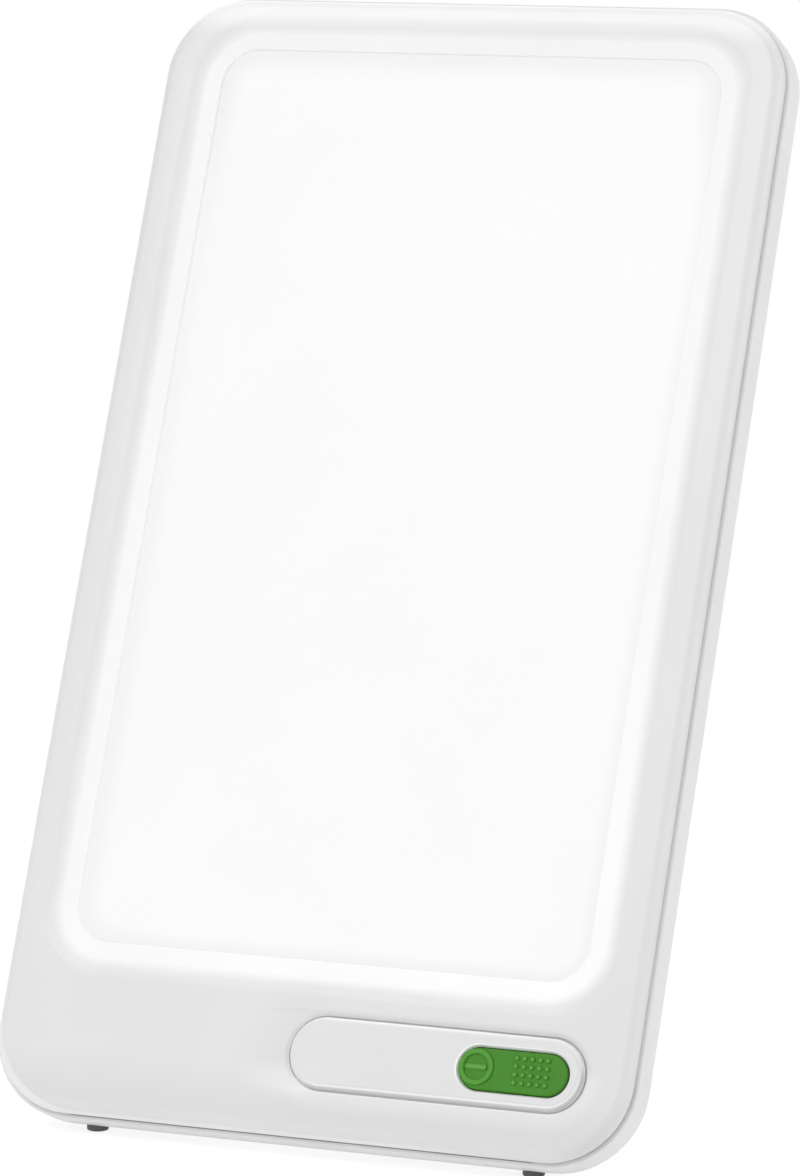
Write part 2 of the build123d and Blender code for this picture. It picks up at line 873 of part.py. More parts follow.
# The hollow of the rear housing, as the core that moulds it, with every boss and wall left out.
with BuildPart() as rear_core:
    with BuildSketch(panel(0)):
        with Locations((0, case_middle)):
            RectangleRounded(
                case_width - 2 * case_wall, case_height - 2 * case_wall, case_corner - case_wall
            )
    extrude(amount=floor_depth)
    fillet(
        rear_core.faces().sort_by(Axis((0, 0, 0), lamp.z_dir))[0].edges(), back_round - case_wall
    )
    with BuildSketch(panel(floor_depth)):
        with Locations((0, tub_top / 2)):
            Rectangle(2 * tub_half, tub_top)
        with Locations((0, (hinge_block_low + hinge_block_high) / 2)):
            Rectangle(2 * hinge_block_x, hinge_block_high - hinge_block_low)
    extrude(amount=tub_depth - floor_depth, mode=Mode.SUBTRACT)
    with BuildSketch(panel(floor_depth)):
        with Locations((0, tub_top + rib_above_tub), (0, vent_rise - rib_below_vents)):
            Rectangle(case_width, rib_thickness)
        with Locations((0, (tub_top + case_height) / 2)):
            Rectangle(rib_thickness, case_height - tub_top)
    extrude(amount=rib_height, mode=Mode.SUBTRACT)
    extrude(
        discs(boss_spots, floor_depth, rear_boss_radius),
        amount=boss_meet - floor_depth,
        mode=Mode.SUBTRACT,
    )
    extrude(
        discs(post_spots, floor_depth, post_radius),
        amount=board_back - floor_depth,
        mode=Mode.SUBTRACT,
    )
    extrude(
        discs([jack_spot], floor_depth, jack_land), amount=jack_land_height, mode=Mode.SUBTRACT
    )

# REAR HOUSING: a moulded tray with a recess for the leg, hinge pockets and screw wells.
with BuildPart() as rear_housing:
    with BuildSketch(panel(0)):
        with Locations((0, case_middle)):
            RectangleRounded(case_width, case_height, case_corner)
    extrude(amount=-case_depth)
    fillet(rear_housing.faces().sort_by(Axis((0, 0, 0), lamp.z_dir))[0].edges(), back_round)
    fillet(rear_housing.faces().sort_by(Axis((0, 0, 0), lamp.z_dir))[-1].edges(), rim_round)
    add(rear_core.part, mode=Mode.SUBTRACT)
    with BuildSketch(panel(recess_floor)):
        with Locations((0, recess_top / 2)):
            Rectangle(2 * recess_half, recess_top)
        with Locations((0, -case_depth / 2)):
            Rectangle(2 * recess_half, case_depth)
    extrude(amount=-case_depth, mode=Mode.SUBTRACT)
    recess_corners = rear_housing.edges().filter_by(Axis((0, 0, 0), lamp.z_dir)).filter_by(
        lambda edge: abs(rise_of(edge) - recess_top) < touch and abs(edge.center().X) < tub_half
    )
    fillet(recess_corners, recess_corner)
    # Pockets beside the recess hold the ends of the hinge pin under their caps.
    with BuildSketch(panel(pivot_depth)):
        with Locations((0, (hinge_pocket_low + hinge_pocket_high) / 2)):
            with GridLocations(2 * hinge_pocket_centre, 1, 2, 1):
                Rectangle(hinge_pocket_width, hinge_pocket_high - hinge_pocket_low)
    extrude(amount=-case_depth, mode=Mode.SUBTRACT)
    with BuildSketch(beside(0, pivot_rise, pivot_depth)):
        Circle(pin_radius + saddle_gap)
    extrude(amount=recess_half + hinge_pocket_width, both=True, mode=Mode.SUBTRACT)
    extrude(
        discs(cap_screw_spots, pivot_depth, small_shank + thread_gap),
        amount=small_pilot_depth,
        mode=Mode.SUBTRACT,
    )
    # Screw wells
    extrude(
        discs(boss_spots, -case_depth, screw_head + head_gap),
        amount=counterbore_depth,
        mode=Mode.SUBTRACT,
    )
    extrude(
        discs(boss_spots, -case_depth, screw_shank + head_gap),
        amount=case_depth,
        mode=Mode.SUBTRACT,
    )
    extrude(
        discs(post_spots, board_back, small_shank + thread_gap),
        amount=-small_pilot_depth,
        mode=Mode.SUBTRACT,
    )
    # Power inlet
    extrude(
        discs([jack_spot], -case_depth, jack_flange + jack_recess_gap),
        amount=jack_flange_thickness + jack_sink,
        mode=Mode.SUBTRACT,
    )
    extrude(
        discs([jack_spot], -case_depth, jack_body + jack_hole_gap),
        amount=case_depth / 2,
        mode=Mode.SUBTRACT,
    )
    # Cooling slots
    with BuildSketch(panel(-case_depth)):
        with Locations((-vent_x, vent_rise), (vent_x, vent_rise)):
            with GridLocations(1, vent_pitch, 1, vent_count):
                SlotOverall(vent_length, vent_width)
        with Locations((board_x, low_vent_rise)):
            with GridLocations(1, vent_pitch, 1, low_vent_count):
                SlotOverall(low_vent_length, vent_width)
    extrude(amount=case_wall, mode=Mode.SUBTRACT)
    # Seats for the feet
    with BuildSketch(Plane.XY):
        with Locations((-foot_x, foot_y), (foot_x, foot_y)):
            Circle(foot_radius + foot_gap)
    extrude(amount=foot_seat, mode=Mode.SUBTRACT)
    with BuildSketch(Plane.XY):
        with Locations((-foot_x, foot_y), (foot_x, foot_y)):
            Circle(foot_stem + foot_gap)
    extrude(amount=foot_seat + 2 * case_wall, mode=Mode.SUBTRACT)
rear_housing.part.label = "rear_housing"
export_step(rear_housing.part, "parts/rear_housing.step")

# HOUSING SCREWS: six, driven forwards from wells in the back.
housing_screws = screws(
    boss_spots, counterbore_depth - case_depth, 1,
    boss_meet + pilot_depth - counterbore_depth + case_depth - screw_end_gap,
    screw_shank, screw_head, screw_head_thickness,
)
housing_screws.label = "housing_screws"
export_step(housing_screws, "parts/housing_screws.step")

# BASE FEET: rubber plugs pushed into the rounded lower edge.
foot_barb_base = foot_seat + case_wall
with BuildPart() as base_feet:
    for base, height, radius in (
        (0, foot_seat - foot_gap, foot_radius),
        (0, foot_barb_base + foot_barb_height, foot_stem),
        (foot_barb_base, foot_barb_height, foot_barb),
    ):
        with BuildSketch(Plane.XY.offset(base)):
            with Locations((-foot_x, foot_y), (foot_x, foot_y)):
                Circle(radius)
        extrude(amount=height)
    chamfer(base_feet.faces().group_by(Axis.Z)[0].edges(), foot_chamfer)
base_feet.part.label = "base_feet"
export_step(base_feet.part, "parts/base_feet.step")

# FOLD-OUT LEG. It is drawn open, with its own planes: down the leg, and out of its outer face.
splay_sin = sin(radians(splay))
splay_cos = cos(radians(splay))
pivot = lamp.from_local_coords((0, pivot_rise, pivot_depth))
leg_down = Vector(0, splay_sin, -splay_cos)
leg_out = Vector(0, splay_cos, splay_sin)
leg_side = Plane(origin=pivot, x_dir=leg_down, z_dir=(1, 0, 0))


def leg_face(out):
    """Plane across the leg: local x is X, local y runs down the leg."""
    return Plane(origin=pivot + leg_out * out, x_dir=(1, 0, 0), z_dir=leg_out)


def leg_reach(out, height):
    """How far down the leg a point on it is this high above the floor."""
    return (pivot.Z + out * splay_sin - height) / splay_cos


leg_half = leg_thickness / 2
leg_length = leg_reach(0, 0)
heel_reach = recess_floor - pivot_depth - stop_gap
with BuildPart() as stand_leg:
    with BuildSketch(leg_face(-leg_half)):
        Polygon(
            (-leg_half_width, 0),
            (leg_half_width, 0),
            (leg_tip_half_width, leg_length + leg_thickness),
            (-leg_tip_half_width, leg_length + leg_thickness),
            align=None,
        )
    extrude(amount=leg_thickness)
    split(bisect_by=Plane.XY.offset(pad_thickness), keep=Keep.TOP)
    tip_corners = stand_leg.faces().sort_by(Axis.Z)[0].edges().sort_by(SortBy.LENGTH)[:2]
    fillet(tip_corners, leg_tip_round)
    outer_edges = stand_leg.faces().sort_by(Axis(pivot, leg_out))[-1].edges()
    fillet(outer_edges.sort_by(Axis.Z)[:-1], leg_edge_round)
    with BuildSketch(leg_side.offset(-barrel_half_length)):
        Circle(barrel_radius)
    extrude(amount=2 * barrel_half_length)
    # The heel meets the floor of the recess and stops the leg.
    with BuildSketch(beside(-heel_half_width, pivot_rise, pivot_depth)):
        Rectangle(heel_length, heel_reach, align=(Align.MIN, Align.MIN))
    extrude(amount=2 * heel_half_width)
    # Ribs on the hidden face are left between two columns of pockets.
    cells_length = cell_rows * (cell_length + cell_rib)
    with BuildSketch(leg_face(-leg_half)):
        with Locations((0, cell_start + cells_length / 2)):
            with GridLocations(cell_width + cell_rib, cell_length + cell_rib, 2, cell_rows):
                RectangleRounded(cell_width, cell_length, cell_rib)
    extrude(amount=leg_thickness - leg_skin, mode=Mode.SUBTRACT)
    with BuildSketch(leg_face(leg_half)):
        with Locations((0, leg_length - grip_up)):
            SlotOverall(grip_length, grip_width)
    extrude(amount=-grip_depth, mode=Mode.SUBTRACT)
    with BuildSketch(leg_side.offset(-barrel_half_length)):
        Circle(pin_radius + pin_gap)
    extrude(amount=2 * barrel_half_length, mode=Mode.SUBTRACT)
    # Slot for the stub of the rubber pad
    with BuildSketch(leg_side.offset(-stub_half_width - stub_gap)):
        Polygon(
            (leg_length + leg_thickness, -stub_thickness / 2 - stub_gap),
            (leg_length + leg_thickness, stub_thickness / 2 + stub_gap),
            (leg_length - pad_thickness - stub_length - stub_gap, stub_thickness / 2 + stub_gap),
            (leg_length - pad_thickness - stub_length - stub_gap, -stub_thickness / 2 - stub_gap),
            align=None,
        )
    extrude(amount=2 * stub_half_width + 2 * stub_gap, mode=Mode.SUBTRACT)
stand_leg.part.label = "stand_leg"
export_step(stand_leg.part, "parts/stand_leg.step")

# STAND PAD: a rubber strip under the leg's tip, held by a stub.
with BuildPart() as stand_pad:
    with BuildSketch(leg_side.offset(-pad_half_width)):
        Polygon(
            (leg_reach(-leg_half, 0), -leg_half),
            (leg_reach(leg_half, 0), leg_half),
            (leg_reach(leg_half, pad_thickness), leg_half),
            (leg_reach(-leg_half, pad_thickness), -leg_half),
            align=None,
        )
    extrude(amount=2 * pad_half_width)
    with BuildSketch(leg_side.offset(-stub_half_width)):
        Polygon(
            (leg_length - pad_thickness / 2, -stub_thickness / 2),
            (leg_length - pad_thickness / 2, stub_thickness / 2),
            (leg_length - pad_thickness - stub_length, stub_thickness / 2),
            (leg_length - pad_thickness - stub_length, -stub_thickness / 2),
            align=None,
        )
    extrude(amount=2 * stub_half_width)
stand_pad.part.label = "stand_pad"
export_step(stand_pad.part, "parts/stand_pad.step")

# STAND PIN: a plain steel pin through the leg's barrel, lying in the two saddles.
with BuildPart() as stand_pin:
    with BuildSketch(leg_side.offset(-pin_half_length)):
        Circle(pin_radius)
    extrude(amount=2 * pin_half_length)
    chamfer(stand_pin.edges().filter_by(GeomType.CIRCLE), pin_chamfer)
stand_pin.part.label = "stand_pin"
export_step(stand_pin.part, "parts/stand_pin.step")

# HINGE CAPS: two blocks screwed down over the ends of the pin.
with BuildPart() as hinge_caps:
    with BuildSketch(panel(pivot_depth)):
        with Locations((0, (hinge_pocket_low + hinge_pocket_high) / 2)):
            with GridLocations(2 * hinge_pocket_centre, 1, 2, 1):
                Rectangle(
                    hinge_pocket_width - 2 * cap_gap,
                    hinge_pocket_high - hinge_pocket_low - 2 * cap_gap,
                )
    extrude(amount=-case_depth - pivot_depth + cap_sink)
    with BuildSketch(beside(0, pivot_rise, pivot_depth)):
        Circle(pin_radius + saddle_gap)
    extrude(amount=case_width / 2, both=True, mode=Mode.SUBTRACT)
    extrude(
        discs(cap_screw_spots, -case_depth, small_head + thread_gap),
        amount=small_head_thickness + cap_sink,
        mode=Mode.SUBTRACT,
    )
    extrude(
        discs(cap_screw_spots, -case_depth, small_shank + thread_gap),
        amount=case_depth,
        mode=Mode.SUBTRACT,
    )
hinge_caps.part.label = "hinge_caps"
export_step(hinge_caps.part, "parts/hinge_caps.step")

cap_screws = screws(
    cap_screw_spots, small_head_thickness + cap_sink - case_depth, 1,
    cap_screw_length - small_head_thickness, small_shank, small_head, small_head_thickness,
)
cap_screws.label = "cap_screws"
export_step(cap_screws, "parts/cap_screws.step")

# POWER INLET: a round jack held through the back by a nut, with its contact on the axis.
jack_face = jack_sink - case_depth
jack_seat = jack_face + jack_flange_thickness
jack_end = jack_seat + jack_length
socket_end = jack_end - jack_end_wall
with BuildPart() as dc_jack:
    extrude(discs([jack_spot], jack_face, jack_flange), amount=jack_flange_thickness)
    extrude(discs([jack_spot], jack_seat, jack_body), amount=jack_length)
    extrude(
        discs([jack_spot], jack_face, jack_socket), amount=socket_end - jack_face, mode=Mode.SUBTRACT
    )
    extrude(
        discs([jack_spot], jack_end, lead_radius + lead_gap),
        amount=-lead_entry - lead_gap,
        mode=Mode.SUBTRACT,
    )
dc_jack.part.label = "dc_jack"
export_step(dc_jack.part, "parts/dc_jack.step")

with BuildPart() as dc_jack_contact:
    extrude(
        discs([jack_spot], socket_end - contact_base_thickness, contact_base),
        amount=contact_base_thickness,
    )
    extrude(
        discs([jack_spot], jack_face + contact_setback, contact_radius),
        amount=socket_end - jack_face - contact_setback,
    )
    fillet(
        dc_jack_contact.faces().sort_by(Axis((0, 0, 0), lamp.z_dir))[0].edges(), contact_round
    )
dc_jack_contact.part.label = "dc_jack_contact"
export_step(dc_jack_contact.part, "parts/dc_jack_contact.step")

with BuildPart() as jack_nut:
    with BuildSketch(panel(floor_depth + jack_land_height)):
        with Locations(jack_spot):
            RegularPolygon(nut_flats / 2, 6, major_radius=False)
            Circle(jack_body + jack_hole_gap / 2, mode=Mode.SUBTRACT)
    extrude(amount=nut_thickness)
jack_nut.part.label = "jack_nut"
export_step(jack_nut.part, "parts/jack_nut.step")

# CONTROL BOARD with its parts and plugs
board_face = board_back + board_thickness
with BuildPart() as control_board:
    with BuildSketch(panel(board_back)):
        with Locations((board_x, board_rise)):
            RectangleRounded(board_width, board_height, board_corner)
    extrude(amount=board_thickness)
    extrude(
        discs(post_spots, board_back, small_shank + head_gap),
        amount=board_thickness,
        mode=Mode.SUBTRACT,
    )
control_board.part.label = "control_board"
export_step(control_board.part, "parts/control_board.step")

board_screws = screws(
    post_spots, board_face, -1, board_thickness + small_pilot_depth - screw_end_gap,
    small_shank, small_head, small_head_thickness,
)
board_screws.label = "board_screws"
export_step(board_screws, "parts/board_screws.step")

# Parts of the board stand on its front face, under the lit panel's back plate.
with BuildPart() as board_components:
    for across, up, width, height, thickness in board_chips:
        with BuildSketch(panel(board_face)):
            with Locations((board_x + across, board_rise + up)):
                Rectangle(width, height)
        extrude(amount=thickness)
    drum_spots = [(board_x + across, board_rise + up) for across, up in drum_places]
    with BuildSketch(panel(board_face)):
        with Locations(*drum_spots):
            Rectangle(drum_base, drum_base)
    extrude(amount=drum_base_thickness)
    extrude(discs(drum_spots, board_face, drum_waist), amount=drum_height)
    extrude(
        discs(drum_spots, board_face + drum_height, drum_cap), amount=-drum_base_thickness
    )
    can_spots = [(board_x + across, board_rise + up) for across, up in can_places]
    extrude(discs(can_spots, board_face, can_radius), amount=can_height)
    with BuildSketch(panel(board_face)):
        with Locations((board_x + passive_place[0], board_rise + passive_place[1])):
            with GridLocations(passive_pitch, passive_pitch, passive_columns, passive_rows):
                Rectangle(passive_width, passive_height)
    extrude(amount=passive_thickness)
board_components.part.label = "board_components"
export_step(board_components.part, "parts/board_components.step")

# CONNECTORS: sockets at the boards' edges, each with a hole that its lead enters.
board_bottom = board_rise - board_height / 2
board_top = board_rise + board_height / 2
socket_axis = board_face + socket_height / 2
led_socket = board_x - socket_pitch
switch_socket = board_x + socket_pitch
switch_board_back = switch_board_face - switch_board_thickness
switch_socket_x = key_x - switch_board_width / 2 + switch_socket_inset
switch_socket_axis = switch_board_back - socket_height / 2
lead_hole = lead_radius + lead_gap
lead_hole_depth = lead_entry + lead_gap
with BuildPart() as board_connectors:
    with BuildSketch(panel(board_face)):
        with Locations((board_x, board_bottom + socket_depth / 2)):
            with GridLocations(socket_pitch, 1, 3, 1):
                Rectangle(socket_width, socket_depth)
        with Locations((led_socket, board_top - socket_depth / 2)):
            Rectangle(socket_width, socket_depth)
    extrude(amount=socket_height)
    with BuildSketch(panel(switch_board_back)):
        with Locations((switch_socket_x + socket_depth / 2, switch_socket_rise)):
            Rectangle(socket_depth, socket_width)
    extrude(amount=-socket_height)
    with BuildSketch(upright(0, board_bottom)):
        with Locations((board_x, socket_axis)):
            with GridLocations(socket_pitch, 1, 3, 1):
                Circle(lead_hole)
    extrude(amount=-lead_hole_depth, mode=Mode.SUBTRACT)
    with BuildSketch(upright(0, board_top)):
        with Locations((led_socket, socket_axis)):
            Circle(lead_hole)
    extrude(amount=lead_hole_depth, mode=Mode.SUBTRACT)
    with BuildSketch(beside(switch_socket_x)):
        with Locations((switch_socket_rise, switch_socket_axis)):
            Circle(lead_hole)
    extrude(amount=lead_hole_depth, mode=Mode.SUBTRACT)
board_connectors.part.label = "board_connectors"
export_step(board_connectors.part, "parts/board_connectors.step")

# LEADS. Each is a round tube through chosen points, its ends set by what it joins.
bend_share = 0.45


def bend_radii(points):
    """The largest bend at each point that leaves part of both runs beside it straight."""
    radii = []
    for before, here, after in zip(points, points[1:], points[2:]):
        run_in = Vector(*here) - Vector(*before)
        run_out = Vector(*after) - Vector(*here)
        half_turn = radians(run_in.get_angle(run_out)) / 2
        radii.append(bend_share * min(run_in.length, run_out.length) / tan(half_turn))
    return radii


def leads(*routes):
    """Leads through points given as x, rise and depth."""
    with BuildPart() as tubes:
        for points in routes:
            radii = bend_radii(points)
            with BuildLine(lamp) as route:
                FilletPolyline(*points, radius=radii)
            path = route.wire()
            with BuildSketch(Plane(origin=path @ 0, z_dir=path % 0)):
                Circle(lead_radius)
            sweep(path=path)
            print("lead", round(path.length, 1), "bends", [round(radius, 1) for radius in radii])
    return tubes.part


low_lead_end = board_bottom + lead_entry
strip_low = strip_ends[0][0]
strip_high = strip_ends[1][0] + strip_thickness
jack_leads = leads(
    [
        (jack_x, jack_rise, jack_end - lead_entry),
        (jack_x, jack_rise, jack_end + 2.0),
        (jack_x, jack_rise + 4.0, jack_end + 4.8),
        (jack_x - 0.2, jack_rise + 10.5, jack_end + 4.4),
        (jack_x + 0.4, jack_rise + 16.0, jack_end + 0.8),
        (jack_x + 0.9, board_bottom - 10.5, socket_axis + 0.3),
        (board_x, board_bottom - 5.0, socket_axis),
        (board_x, low_lead_end, socket_axis + touch),
    ]
)
# This lead crosses in front of the leg's recess.
switch_leads = leads(
    [
        (switch_socket_x + lead_entry, switch_socket_rise, switch_socket_axis),
        (tub_half - 17.0, 17.5, tub_depth + 2.1),
        (tub_half - 53.0, 19.0, tub_depth + 2.2),
        (-tub_half - 5.0, 21.5, tub_depth + 1.6),
        (-tub_half - 17.0, 30.0, tub_depth + 0.5),
        (switch_socket - 0.4, board_bottom - 19.5, socket_axis + 0.1),
        (switch_socket, low_lead_end, socket_axis),
    ]
)
# Each of these turns round one end of the back plate to the strip's face.
led_x = strip_end_inset - strip_length / 2
led_climb = plate_top - board_top
led_leads = leads(
    [
        (led_socket, low_lead_end, socket_axis),
        (led_x + 1.6, board_bottom - 7.5, socket_axis - 0.1),
        (led_x + 0.8, plate_bottom - 7.5, socket_axis),
        (led_x + 0.3, plate_bottom - 9.3, plate_back + 0.5),
        (led_x, plate_bottom - 7.5, strip_middle_depth),
        (led_x, strip_low, strip_middle_depth),
    ],
    [
        (led_socket, board_top - lead_entry, socket_axis),
        (led_x + 1.6, board_top + 10.0, socket_axis - 0.3),
        *[
            (led_x + sway, board_top + climb * led_climb, socket_axis + lift)
            for climb, sway, lift in led_lead_waves
        ],
        (led_x, plate_top + 4.7, socket_axis),
        (led_x - 0.1, plate_top + 6.5, plate_back + 0.5),
        (led_x, plate_top + 4.7, strip_middle_depth),
        (led_x, strip_high, strip_middle_depth),
    ],
)
for name, piece in (
    ("jack_leads", jack_leads),
    ("switch_leads", switch_leads),
    ("led_leads", led_leads),
):
    piece.label = name
    export_step(piece, f"parts/{name}.step")
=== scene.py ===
import json
import math

import bpy
from mathutils import Matrix, Vector


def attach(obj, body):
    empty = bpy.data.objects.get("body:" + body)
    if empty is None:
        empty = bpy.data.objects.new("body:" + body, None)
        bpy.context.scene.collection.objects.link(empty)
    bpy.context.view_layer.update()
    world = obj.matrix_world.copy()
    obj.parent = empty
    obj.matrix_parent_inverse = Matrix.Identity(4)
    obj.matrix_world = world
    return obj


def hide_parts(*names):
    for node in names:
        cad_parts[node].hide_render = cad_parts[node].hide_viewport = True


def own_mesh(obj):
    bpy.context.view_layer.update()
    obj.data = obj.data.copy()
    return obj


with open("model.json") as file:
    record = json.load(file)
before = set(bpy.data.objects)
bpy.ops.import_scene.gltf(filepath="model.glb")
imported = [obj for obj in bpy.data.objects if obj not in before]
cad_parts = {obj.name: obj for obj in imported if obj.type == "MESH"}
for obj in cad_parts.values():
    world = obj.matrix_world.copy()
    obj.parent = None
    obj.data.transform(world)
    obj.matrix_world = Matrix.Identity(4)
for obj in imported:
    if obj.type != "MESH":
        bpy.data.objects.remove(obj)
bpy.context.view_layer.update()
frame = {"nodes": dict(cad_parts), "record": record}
bpy.ops.object.select_all(action="DESELECT")
scene = bpy.context.scene
nodes = frame["nodes"]
print("frame loaded:", len(nodes), "nodes")

# Where the panel stands: heights run up its slope from the bottom edge of the case,
# depths run towards the front from the joint between the shells.
stance = {
    "lean": math.radians(23.4),
    "shift": -0.08096,
    "lift": 0.0055,
    "middle": 0.1902,
}
slopeUp = Vector((0, math.sin(stance["lean"]), math.cos(stance["lean"])))
panelFront = Vector((0, -math.cos(stance["lean"]), math.sin(stance["lean"])))
panelFoot = Vector((0, stance["shift"], stance["lift"]))


def onPanel(x, rise, depth):
    return panelFoot + Vector((x, 0, 0)) + slopeUp * rise + panelFront * depth


# The camera looks at the panel's middle, and slides a little across its own view.
shot = {
    "azimuth": math.radians(23.356),
    "elevation": math.radians(8.426),
    "distance": 1.859482,
    "slideRight": 0.0021045,
    "slideUp": -0.008824,
    "lens": 177.217,
    "sensor": 36,
    "near": 0.1,
    "far": 20,
}


def placeCamera():
    bpy.ops.object.camera_add()
    camera = bpy.context.object
    camera.name = "shotCamera"
    level = math.cos(shot["elevation"])
    back = Vector((
        math.sin(shot["azimuth"]) * level,
        -math.cos(shot["azimuth"]) * level,
        math.sin(shot["elevation"]),
    ))
    aim = (-back).to_track_quat("-Z", "Y")
    camera.rotation_mode = "QUATERNION"
    camera.rotation_quaternion = aim
    camera.location = (
        onPanel(0, stance["middle"], 0)
        + back * shot["distance"]
        + aim @ Vector((shot["slideRight"], shot["slideUp"], 0))
    )
    camera.data.lens = shot["lens"]
    camera.data.sensor_width = shot["sensor"]
    camera.data.clip_start = shot["near"]
    camera.data.clip_end = shot["far"]
    scene.camera = camera


placeCamera()
print("camera placed")

black = (0.0, 0.0, 0.0)
white = (1.0, 1.0, 1.0)


def addNode(tree, kind, x, y, **values):
    node = tree.nodes.new(kind)
    node.location = (x, y)
    for key, value in values.items():
        if hasattr(node, key):
            setattr(node, key, value)
        else:
            node.inputs[key].default_value = value
    return node


def addMath(tree, x, y, operation, first, second=None):
    # a number or a socket may stand on either side
    node = addNode(tree, "ShaderNodeMath", x, y, operation=operation)
    for place, value in enumerate((first, second)):
        if value is None:
            continue
        if isinstance(value, (int, float)):
            node.inputs[place].default_value = value
        else:
            tree.links.new(value, node.inputs[place])
    return node.outputs[0]


def addProduct(tree, x, y, first, *others):
    for step, other in enumerate(others):
        first = addMath(tree, x + 150 * step, y, "MULTIPLY", first, other)
    return first


def addRange(tree, x, y, value, low, high, toLow=0.0, toHigh=1.0, curve="LINEAR"):
    node = addNode(tree, "ShaderNodeMapRange", x, y, interpolation_type=curve)
    for label, number in (
        ("From Min", low), ("From Max", high), ("To Min", toLow), ("To Max", toHigh),
    ):
        node.inputs[label].default_value = number
    tree.links.new(value, node.inputs["Value"])
    return node.outputs["Result"]


def addFade(tree, x, y, value, start, full, most=1.0):
    # eases from nothing where it starts to the most where it is full
    return addRange(tree, x, y, value, start, full, 0.0, most, "SMOOTHSTEP")


def addBlend(tree, x, y, share, first, second):
    node = addNode(tree, "ShaderNodeMix", x, y, data_type="RGBA")
    for place, colour in ((6, first), (7, second)):
        if isinstance(colour, tuple):
            node.inputs[place].default_value = (*colour, 1)
        else:
            tree.links.new(colour, node.inputs[place])
    if isinstance(share, (int, float)):
        node.inputs[0].default_value = share
    else:
        tree.links.new(share, node.inputs[0])
    return node.outputs[2]


# The floor and the sky are plain white to the camera and dimmer to the object.
studio = {
    "skyLow": 0.29,
    "skyHigh": 0.58,
    "floorSize": 6.0,
    "floorMatt": 0.9,
    "floorBounce": (0.80, 0.80, 0.80),
    "floorBounceGlow": 0.24,
    "floorSeen": (0.30, 0.30, 0.30),
    "floorSeenGlow": 0.79,
    "shadow": (0.30, 0.80),
}
softboxes = {
    "keySoftbox": {"place": (-0.7, -1.4, 2.0), "size": 1.1, "power": 13.6},
    "fillSoftbox": {"place": (-1.0, -1.9, 1.5), "size": 1.3, "power": 5.0},
    "topSoftbox": {"place": (-0.1, 0.9, 2.2), "size": 1.4, "power": 6.0},
    "sideSoftbox": {"place": (2.0, 0.5, 0.8), "size": 1.6, "power": 12.0},
    "lowSoftbox": {"place": (-0.5, -1.6, 0.25), "size": 0.6, "power": 1.2},
}


def seenDirectly(tree, x, y):
    # 1 for what the camera sees, straight, in a reflection or through something clear
    path = addNode(tree, "ShaderNodeLightPath", x, y)
    seen = path.outputs["Is Camera Ray"]
    seen = addMath(tree, x + 200, y, "MAXIMUM", seen, path.outputs["Is Glossy Ray"])
    return addMath(tree, x + 400, y, "MAXIMUM", seen, path.outputs["Is Transmission Ray"])


def lightWorld():
    world = bpy.data.worlds.new("whiteStudio")
    world.use_nodes = True
    scene.world = world
    tree = world.node_tree
    tree.nodes.clear()
    seen = seenDirectly(tree, -1000, 300)
    place = addNode(tree, "ShaderNodeTexCoord", -1000, 0)
    height = addNode(tree, "ShaderNodeSeparateXYZ", -800, 0)
    tree.links.new(place.outputs["Generated"], height.inputs[0])
    sky = addRange(
        tree, -600, 0, height.outputs["Z"], -1.0, 1.0, studio["skyLow"], studio["skyHigh"]
    )
    level = addNode(tree, "ShaderNodeMix", -200, 200, data_type="FLOAT")
    level.inputs[3].default_value = 1.0
    tree.links.new(seen, level.inputs[0])
    tree.links.new(sky, level.inputs[2])
    background = addNode(tree, "ShaderNodeBackground", 0, 200, Color=(1, 1, 1, 1))
    output = addNode(tree, "ShaderNodeOutputWorld", 200, 200)
    tree.links.new(level.outputs[0], background.inputs["Strength"])
    tree.links.new(background.outputs[0], output.inputs["Surface"])


def addSoftbox(name, place, size, power):
    bpy.ops.object.light_add(type="AREA", location=place)
    lamp = bpy.context.object
    lamp.name = name
    lamp.data.shape = "DISK"
    lamp.data.size = size
    lamp.data.energy = power
    target = onPanel(0, stance["middle"], 0)
    lamp.rotation_mode = "QUATERNION"
    lamp.rotation_quaternion = (target - Vector(place)).to_track_quat("-Z", "Y")


def layFloor():
    bpy.ops.mesh.primitive_plane_add(size=studio["floorSize"])
    floor = bpy.context.object
    floor.name = "studioFloor"
    material = bpy.data.materials.new("whiteFloor")
    material.use_nodes = True
    tree = material.node_tree
    shader = tree.nodes["Principled BSDF"]
    shader.inputs["Roughness"].default_value = studio["floorMatt"]
    shader.inputs["Specular IOR Level"].default_value = 0.0
    shader.inputs["Emission Color"].default_value = (1, 1, 1, 1)
    # near the object the floor keeps its shadow, and further out it is plain white
    place = addNode(tree, "ShaderNodeTexCoord", -1400, -300)
    away = addNode(tree, "ShaderNodeVectorMath", -1200, -300, operation="LENGTH")
    tree.links.new(place.outputs["Object"], away.inputs[0])
    far = addFade(tree, -1000, -300, away.outputs["Value"], *studio["shadow"])
    seen = seenDirectly(tree, -1400, 0)
    near = addBlend(tree, -700, 100, far, studio["floorSeen"], black)
    colour = addBlend(tree, -300, 100, seen, studio["floorBounce"], near)
    shown = addRange(tree, -700, -300, far, 0.0, 1.0, studio["floorSeenGlow"], 1.0)
    glow = addNode(tree, "ShaderNodeMix", -300, -200, data_type="FLOAT")
    glow.inputs[2].default_value = studio["floorBounceGlow"]
    tree.links.new(seen, glow.inputs[0])
    tree.links.new(shown, glow.inputs[3])
    tree.links.new(colour, shader.inputs["Base Color"])
    tree.links.new(glow.outputs[0], shader.inputs["Emission Strength"])
    floor.data.materials.append(material)


scene.view_settings.view_transform = "Standard"
lightWorld()
for softbox, setting in softboxes.items():
    addSoftbox(softbox, setting["place"], setting["size"], setting["power"])
layFloor()
print("studio lit")


